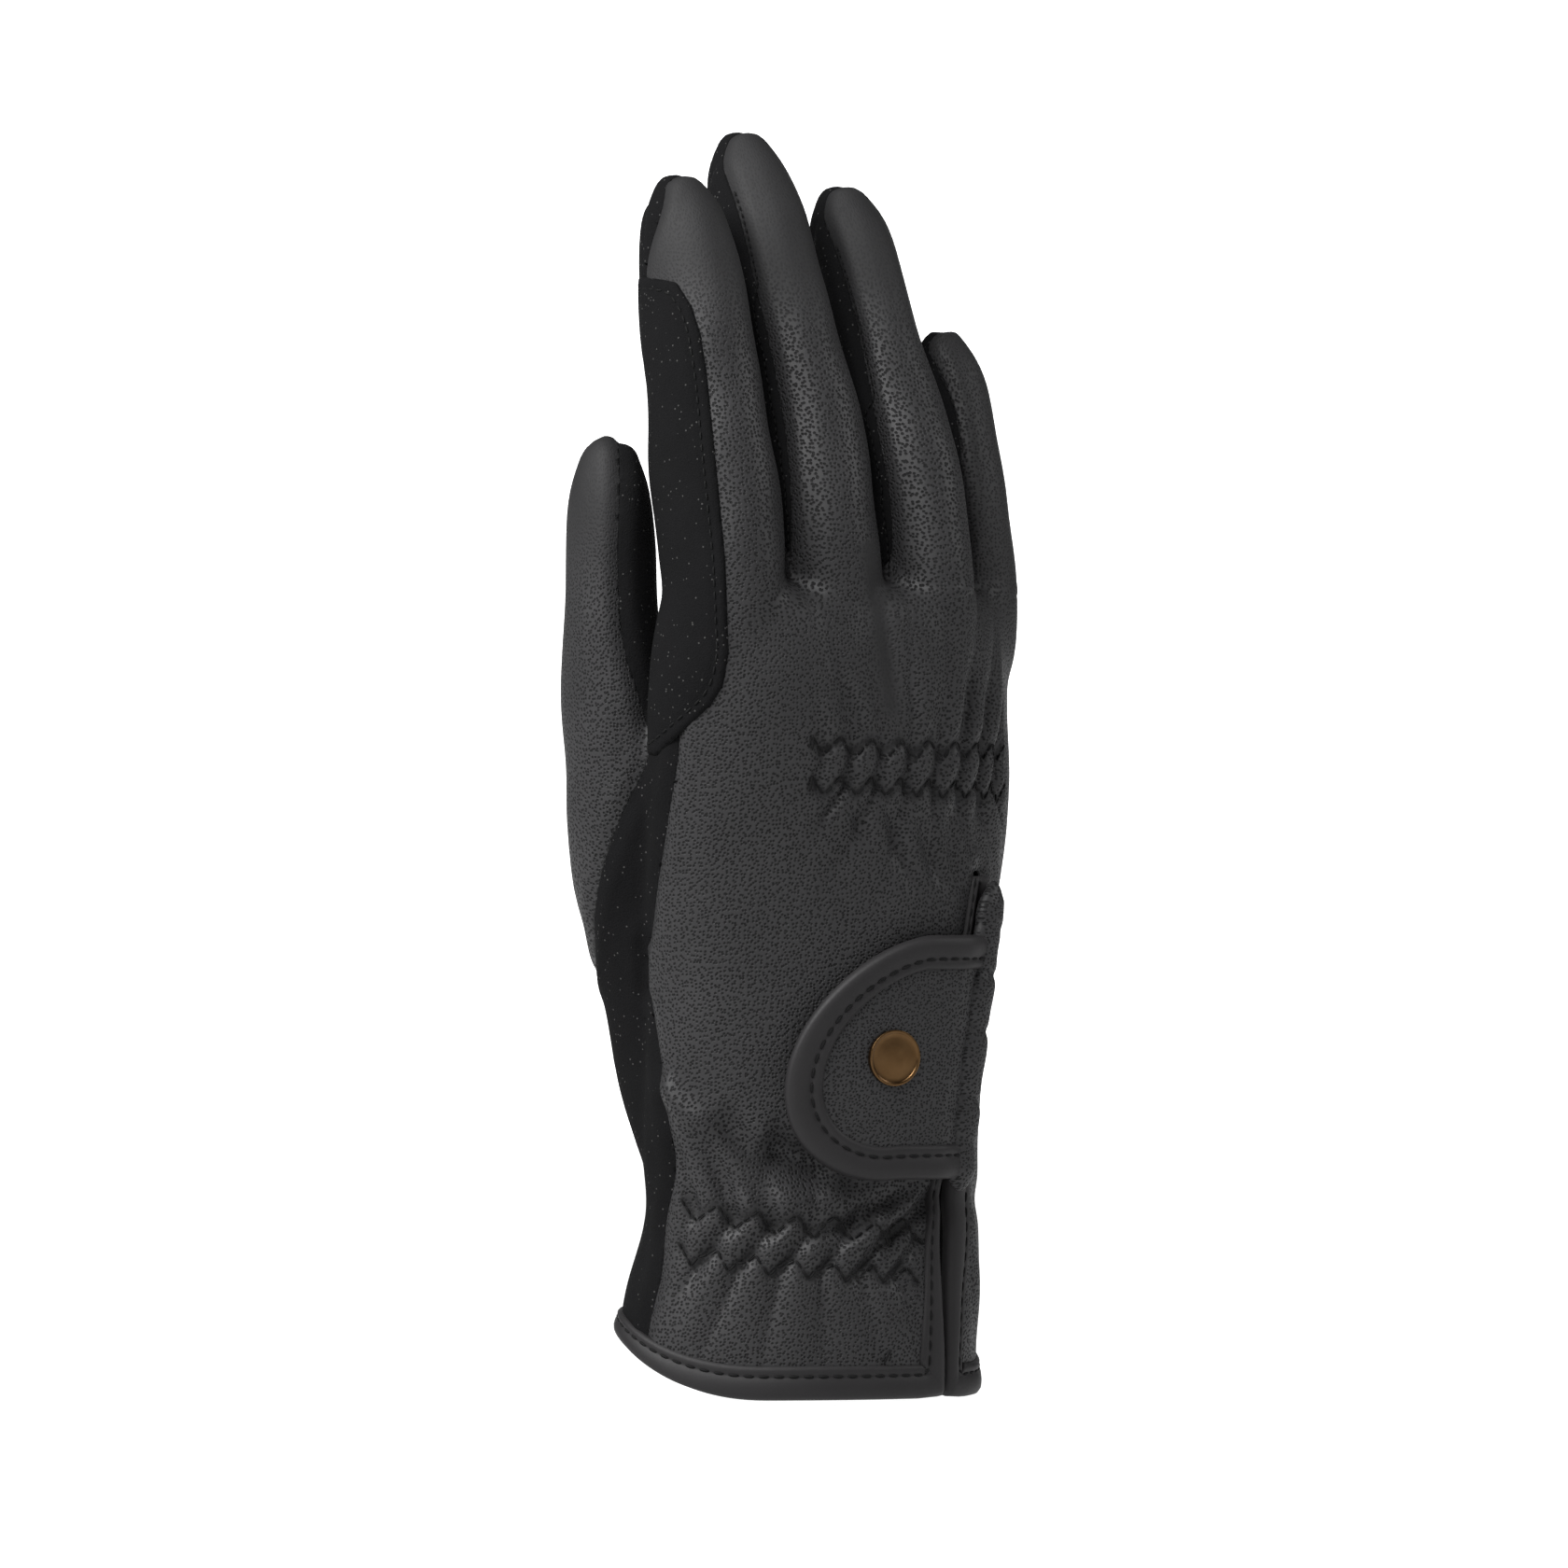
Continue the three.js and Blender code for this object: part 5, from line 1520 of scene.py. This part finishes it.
class GLOVE_OT_hem(bpy.types.Operator):
    """Fold the smooth binding over the hem and both edges of the vent"""

    bl_idname = "glove.hem"
    bl_label = "Hem binding"

    def execute(self, context):
        sizes, _ = glove_settings()
        full = sizes.binding / MM
        section = binding_section(full, 0.0, -WALL)
        rises = np.linspace(VENT_TOP - 1, HEM_CORNER, 60)
        down = [(vent_edge(r, -1), r, -1.0, 0.0, float(vent_stop(r)[1])) for r in rises]
        up = [(vent_edge(r, 1), r, 1.0, 0.0, float(vent_stop(r)[2])) for r in rises[::-1]]
        first, last = vent_edge(0.0, -1), vent_edge(0.0, 1) - 2 * math.pi
        turns = np.linspace(first - math.radians(9), last + math.radians(9), 190)
        hem = [(float(turned_back(a)), 0.0, 0.0, 1.0, full) for a in turns]
        outer = VENT_STOPS[0][-1]
        back_corner = binding_corner(first, -1.0, full, full)
        outer_corner = binding_corner(last + 2 * math.pi, 1.0, outer, full)
        stops = [*down, *back_corner, *hem, *outer_corner[::-1], *up]
        angle = np.array([stop[0] for stop in stops])
        rise = np.array([stop[1] for stop in stops])
        relief = 0.75 * edge_relief(angle, np.maximum(rise, 2.0))
        rings = sweep(stops, section, relief)
        made = make_object("hem_binding", *tube(rings))
        recalculate(made)
        finish_piece(made, finishes()["binding"], "binding", "hem_binding")
        FORM["hem_line"] = groove_line(rings)
        return {"FINISHED"}


def recalculate(made):
    """Turns a mesh's faces outward."""
    select_only(made)
    bpy.ops.object.mode_set(mode="EDIT")
    bpy.ops.mesh.select_all(action="SELECT")
    bpy.ops.mesh.remove_doubles(threshold=1e-6)
    bpy.ops.mesh.normals_make_consistent(inside=False)
    bpy.ops.object.mode_set(mode="OBJECT")


class GLOVE_OT_tab(bpy.types.Operator):
    """Lay the bound tab over the vent, with its hidden pad"""

    bl_idname = "glove.tab"
    bl_label = "Tab, binding and pad"

    def execute(self, context):
        sizes, _ = glove_settings()
        width = sizes.binding / MM
        top = TAB_BASE + TAB_THICKNESS
        made = make_object("closure_tab", *tab_plate(1.6, TAB_BASE, top))
        recalculate(made)
        lay_out(made, np.array([0.95, -0.3, 0.0]))
        finish_piece(made, finishes()["tab"], "leather", "closure_tab")
        section = binding_section(width, 0.0, -TAB_THICKNESS)
        outline = tab_outline(0.0, 90)
        inner = tab_outline(1.0, 90)
        inward = (inner - outline) / np.linalg.norm(inner - outline, axis=1)[:, None]
        rings = []
        for spot, turn in zip(outline, inward):
            places = spot + section[:, :1] * turn
            height = tab_height(places[:, 0], places[:, 1], top) + section[:, 1]
            rings.append(tab_place(places[:, 0], places[:, 1], height))
        rings = np.array(rings)
        made = make_object("tab_binding", *tube(rings))
        recalculate(made)
        finish_piece(made, finishes()["binding"], "binding", "tab_binding")
        FORM["tab_line"] = groove_line(rings)
        made = make_object("hook_pad", *tab_plate(8.0, 0.4, TAB_BASE - 0.9, 12, 20))
        recalculate(made)
        finish_piece(made, finishes()["pad"], "pad", "hook_pad")
        return {"FINISHED"}


class GLOVE_OT_badge(bpy.types.Operator):
    """Set the small bronze disc with its raised rim on the tab"""

    bl_idname = "glove.badge"
    bl_label = "Badge"

    def execute(self, context):
        top = tab_height(np.array([BADGE_REACH]), np.array([TAB_MIDDLE]), TAB_BASE + TAB_THICKNESS)
        spot = tab_place(np.array([BADGE_REACH]), np.array([TAB_MIDDLE]), top)[0]
        right = tab_place(np.array([BADGE_REACH - 2]), np.array([TAB_MIDDLE]), top)[0] - spot
        rise = tab_place(np.array([BADGE_REACH]), np.array([TAB_MIDDLE + 2]), top)[0] - spot
        normal = np.cross(right, rise)
        normal /= np.linalg.norm(normal)
        deselect_all()
        turn = Vector(normal).to_track_quat("Z", "Y").to_euler()
        place = (spot + 0.1 * normal) * MM
        bpy.ops.mesh.primitive_cylinder_add(
            vertices=64, radius=BADGE_RADIUS * MM, depth=BADGE_DEPTH * MM, location=place, rotation=turn
        )
        made = bpy.context.active_object
        made.name = made.data.name = "badge"
        bpy.ops.object.mode_set(mode="EDIT")
        bpy.ops.mesh.select_mode(type="FACE")
        bpy.ops.mesh.select_all(action="DESELECT")
        bpy.ops.object.mode_set(mode="OBJECT")
        for face in made.data.polygons:
            face.select = face.normal.z > 0.9
        bpy.ops.object.mode_set(mode="EDIT")
        for inward, up in BADGE_STEPS:
            bpy.ops.mesh.inset(thickness=inward * MM, depth=up * MM)
        bpy.ops.object.mode_set(mode="OBJECT")
        sharp = {"limit_method": "ANGLE", "angle_limit": math.radians(28)}
        apply_modifier(made, "BEVEL", width=0.12 * MM, segments=3, **sharp)
        bpy.ops.object.transform_apply(location=True, rotation=True, scale=True)
        finish_piece(made, finishes()["bronze"], "badge", "badge")
        bpy.ops.object.shade_smooth_by_angle(angle=math.radians(32))
        return {"FINISHED"}


class GLOVE_OT_fold(bpy.types.Operator):
    """Roll the pleated leather fold along the outer side of the vent"""

    bl_idname = "glove.fold"
    bl_label = "Vent fold"

    def execute(self, context):
        low, high = TAB_MIDDLE - TAB_HEIGHT / 2 - 3.5, VENT_TOP - 2.0
        rise = np.linspace(low, high, 110)[:, None]
        turn = np.linspace(0, 2 * math.pi, 26, endpoint=False)[None, :]
        end = np.clip(np.minimum(rise - low, high - rise) / 4.0, 0.02, 1) ** 0.5
        pleats = np.zeros_like(rise)
        for height, depth in FOLD_PLEATS:
            pleats = pleats - depth * np.exp(-(((rise + 0.9 * np.cos(turn) - height) / 1.1) ** 2))
        swell = 1 + 0.22 * pleats + 0.06 * np.sin(rise * 0.5)
        across = FOLD_START + FOLD_BREADTH / 2 * (1 + end * swell * np.cos(turn))
        height = FOLD_BASE + FOLD_HEIGHT / 2 * (1 + end * swell * np.sin(turn))
        arc = arc_of(VENT_ANGLE, rise) + across
        rings = palm_point(angle_of(arc, rise), rise, height)
        made = make_object("vent_fold", *tube(rings))
        recalculate(made)
        lay_out(made, np.array([0.72, 0.69, 0.0]))
        finish_piece(made, finishes()["tab"], "leather", "vent_fold")
        return {"FINISHED"}


def zigzag_runs(rows):
    """One short run of thread for each flank of the teeth."""
    runs = []
    for row in rows:
        teeth = int(round((row["end"] - row["start"]) / row["pitch"] * 2))
        marks = []
        for k in range(int(teeth / 2) + 1):
            marks += [row["start"] + k * row["pitch"], row["start"] + (k + 0.45) * row["pitch"]]
        marks = [m for m in marks if m <= row["end"] + 0.1]
        for a, b in zip(marks[:-1], marks[1:]):
            arc = np.linspace(a + 1e-4, b - 1e-4, 9)
            z = row["height"](arc)
            rise = z.copy()
            for _ in range(5):
                angle = angle_of(arc, rise)
                rise = z - hem_lift(angle, rise) - HEM_LIFT * (1 - rise / PALM_HEIGHT)
            points = palm_point(angle_of(arc, rise), rise)
            runs.append(onto_surface(points, FORM["tree"], 0.22))
    return runs


def tack_runs():
    """Short bars of thread at the ends of the knuckle rows and at the foot of the vent."""
    runs = []
    for low, high in TACKS:
        path = []
        for t in np.linspace(0, 1, 7):
            angle, rise = seen_on_hand(low[0] + (high[0] - low[0]) * t, low[1] + (high[1] - low[1]) * t)
            path.append(np.ravel(palm_point(angle, rise)))
        runs.append(onto_surface(path, FORM["tree"], 0.22))
    return runs


def contour(data, faces, field, level):
    """Points where a field crosses a level on a surface."""
    value = data[field][:, 0] - level
    edges, _ = edges_of(faces)
    a, b = value[edges[:, 0]], value[edges[:, 1]]
    crossing = (a > 0) != (b > 0)
    edges, a, b = edges[crossing], a[crossing], b[crossing]
    t = (a / (a - b))[:, None]
    first, second = edges.T
    return [data[key][first] * (1 - t) + data[key][second] * t for key in ("point", "smooth", "normal")]


def climbing_run(points, normals, step=2.0):
    """Sorts a rising line of points and evens it out."""
    order = np.argsort(points[:, 2])
    points, normals = points[order], normals[order]
    line, ups = averaged(np.floor(points[:, 2] / step).astype(int), points, normals)
    return line, ups / np.linalg.norm(ups, axis=1)[:, None]


def averaged(bins, points, normals):
    """Mean place and normal of the points in each bin, in the order of the bins."""
    keep = np.unique(bins)
    line = np.array([points[bins == k].mean(0) for k in keep])
    return line, np.array([normals[bins == k].mean(0) for k in keep])


def patch_run():
    """Line of stitches inside the patch's edge."""
    data, faces, lift = FORM["patch"]
    lifted = {**data, "point": data["point"] + data["normal"] * lift[:, None]}
    points, smooth, normals = contour(lifted, faces, "patch", 2.1)
    run = np.concatenate([[0], np.cumsum(np.linalg.norm(np.diff(PATCH_CORNERS, axis=0), axis=1))])
    fine = np.linspace(0, run[-1], 600)
    path = np.stack([np.interp(fine, run, PATCH_CORNERS[:, k]) for k in range(2)], 1)
    seen = np.stack([smooth @ ACROSS, smooth[:, 2]], 1)
    nearest = np.array([int(np.argmin(((path - spot) ** 2).sum(1))) for spot in seen])
    return averaged(nearest // 6, points, normals)


def finger_runs():
    """Lines of stitches beside the seams of the fingers."""
    data, faces = cut(("thumb", -1), ("rise", 1))
    points, smooth, normals = contour(data, faces, "leather", 1.1)
    above_root = smooth[:, 2] - FINGER_ROOT
    runs = []
    for name, f in FINGERS.items():
        middle = f["across"] + f["lean"] * above_root / f["length"]
        near = np.abs(smooth[:, 0] - middle) < f["breadth"] / 2 + 1
        near &= (above_root > 0.24 * f["length"]) & (above_root < 0.9 * f["length"])
        for side in (-1, 1):
            if (name, side) in (("index", -1), ("little", 1)):
                continue
            chosen = near & (side * (smooth[:, 0] - middle) > 0)
            if chosen.sum() > 20:
                runs.append(climbing_run(points[chosen], normals[chosen]))
    return runs


class GLOVE_OT_stitches(bpy.types.Operator):
    """Sew the zigzag rows, the bindings, the patch and the finger seams"""

    bl_idname = "glove.stitches"
    bl_label = "Stitches"

    def execute(self, context):
        sizes, _ = glove_settings()
        thread = finishes()["thread"]

        def sewn(name, runs, **options):
            points, faces = stitches(runs, sizes, **options)
            finish_piece(make_object(name, points, faces), thread, "binding")

        sewn("zigzag_stitches", zigzag_runs(KNUCKLES) + zigzag_runs(WRISTS), pitch=2.2, long=1.9, thick=0.5)
        sewn("bar_tacks", tack_runs(), pitch=3.6, long=3.4, thick=0.5)
        sewn("binding_stitches", [FORM["hem_line"], FORM["tab_line"]])
        sewn("patch_stitches", [patch_run()], pitch=2.4, long=1.6, thick=0.42)
        sewn("finger_stitches", finger_runs(), pitch=1.7, long=1.15, thick=0.34)
        return {"FINISHED"}


class GLOVE_OT_stage(bpy.types.Operator):
    """Set the pale floor, the soft light and the camera"""

    bl_idname = "glove.stage"
    bl_label = "Stage"

    def execute(self, context):
        scene = context.scene
        scene.view_settings.view_transform = "Standard"
        scene.view_settings.look = "None"
        deselect_all()
        bpy.ops.mesh.primitive_plane_add(size=FLOOR_SIZE, location=(0, 0, -FLOOR_DROP))
        floor = context.active_object
        floor.name = floor.data.name = "floor"
        floor.data.materials.append(paper_finish("pale_floor", 0.2, 0.98))
        behind = Vector(AWAY) * BACKDROP_AWAY
        upright = (math.pi / 2, 0, -VIEW_TURN)
        bpy.ops.mesh.primitive_plane_add(size=BACKDROP_SIZE, location=behind, rotation=upright)
        backdrop = context.active_object
        backdrop.name = backdrop.data.name = "backdrop"
        backdrop.data.materials.append(paper_finish("white_backdrop", 0.93, 1.0))
        world = bpy.data.worlds.new("studio")
        scene.world = world
        world.use_nodes = True
        sky = world.node_tree.nodes["Background"]
        sky.inputs["Color"].default_value = (1, 1, 1, 1)
        sky.inputs["Strength"].default_value = SKY_STRENGTH
        for name, azimuth, elevation, distance, size, power in LAMPS:
            light = bpy.data.lights.new(name, "AREA")
            light.energy, light.size = power, size
            lamp = bpy.data.objects.new(name, light)
            scene.collection.objects.link(lamp)
            a, e = math.radians(azimuth), math.radians(elevation)
            back = Vector((math.sin(a) * math.cos(e), -math.cos(a) * math.cos(e), math.sin(e)))
            lamp.location = LAMP_TARGET + back * distance
            lamp.rotation_euler = (-back).to_track_quat("-Z", "Y").to_euler()
        lens = bpy.data.cameras.new("camera")
        camera = bpy.data.objects.new("camera", lens)
        scene.collection.objects.link(camera)
        lens.sensor_width = 36
        lens.lens = lens.sensor_width * CAMERA_DISTANCE / SEEN_WIDTH
        lens.clip_start, lens.clip_end = 0.1, 20
        centre = Vector(ACROSS * VIEW_RIGHT + AWAY * VIEW_AWAY) * MM + Vector((0, 0, VIEW_HEIGHT * MM))
        back = Vector((-math.sin(VIEW_TURN), -math.cos(VIEW_TURN), 0))
        camera.location = centre + back * CAMERA_DISTANCE
        camera.rotation_euler = (-back).to_track_quat("-Z", "Y").to_euler()
        scene.camera = camera
        return {"FINISHED"}


class GLOVE_PT_panel(bpy.types.Panel):
    """Lists the glove's pieces, sizes and colours"""

    bl_label = "Riding Glove"
    bl_idname = "GLOVE_PT_panel"
    bl_space_type = "VIEW_3D"
    bl_region_type = "UI"
    bl_category = "Glove"

    def draw(self, context):
        for operator in OPERATORS:
            self.layout.operator(operator.bl_idname)
        for group in (context.scene.glove_sizes, context.scene.glove_colours):
            for key in group.__annotations__:
                self.layout.prop(group, key)


OPERATORS = (
    GLOVE_OT_stage,
    GLOVE_OT_panels,
    GLOVE_OT_patch,
    GLOVE_OT_hem,
    GLOVE_OT_tab,
    GLOVE_OT_badge,
    GLOVE_OT_fold,
    GLOVE_OT_stitches,
)
CLASSES = (GloveSizes, GloveColours, *OPERATORS, GLOVE_PT_panel)


def register():
    for item in CLASSES:
        bpy.utils.register_class(item)
    bpy.types.Scene.glove_sizes = bpy.props.PointerProperty(type=GloveSizes)
    bpy.types.Scene.glove_colours = bpy.props.PointerProperty(type=GloveColours)


def unregister():
    del bpy.types.Scene.glove_colours
    del bpy.types.Scene.glove_sizes
    for item in reversed(CLASSES):
        bpy.utils.unregister_class(item)


def main():
    register()
    bpy.ops.glove.stage()
    bpy.ops.glove.panels()
    bpy.ops.glove.patch()
    bpy.ops.glove.hem()
    bpy.ops.glove.tab()
    bpy.ops.glove.badge()
    bpy.ops.glove.fold()
    bpy.ops.glove.stitches()


if __name__ == "__main__":
    main()
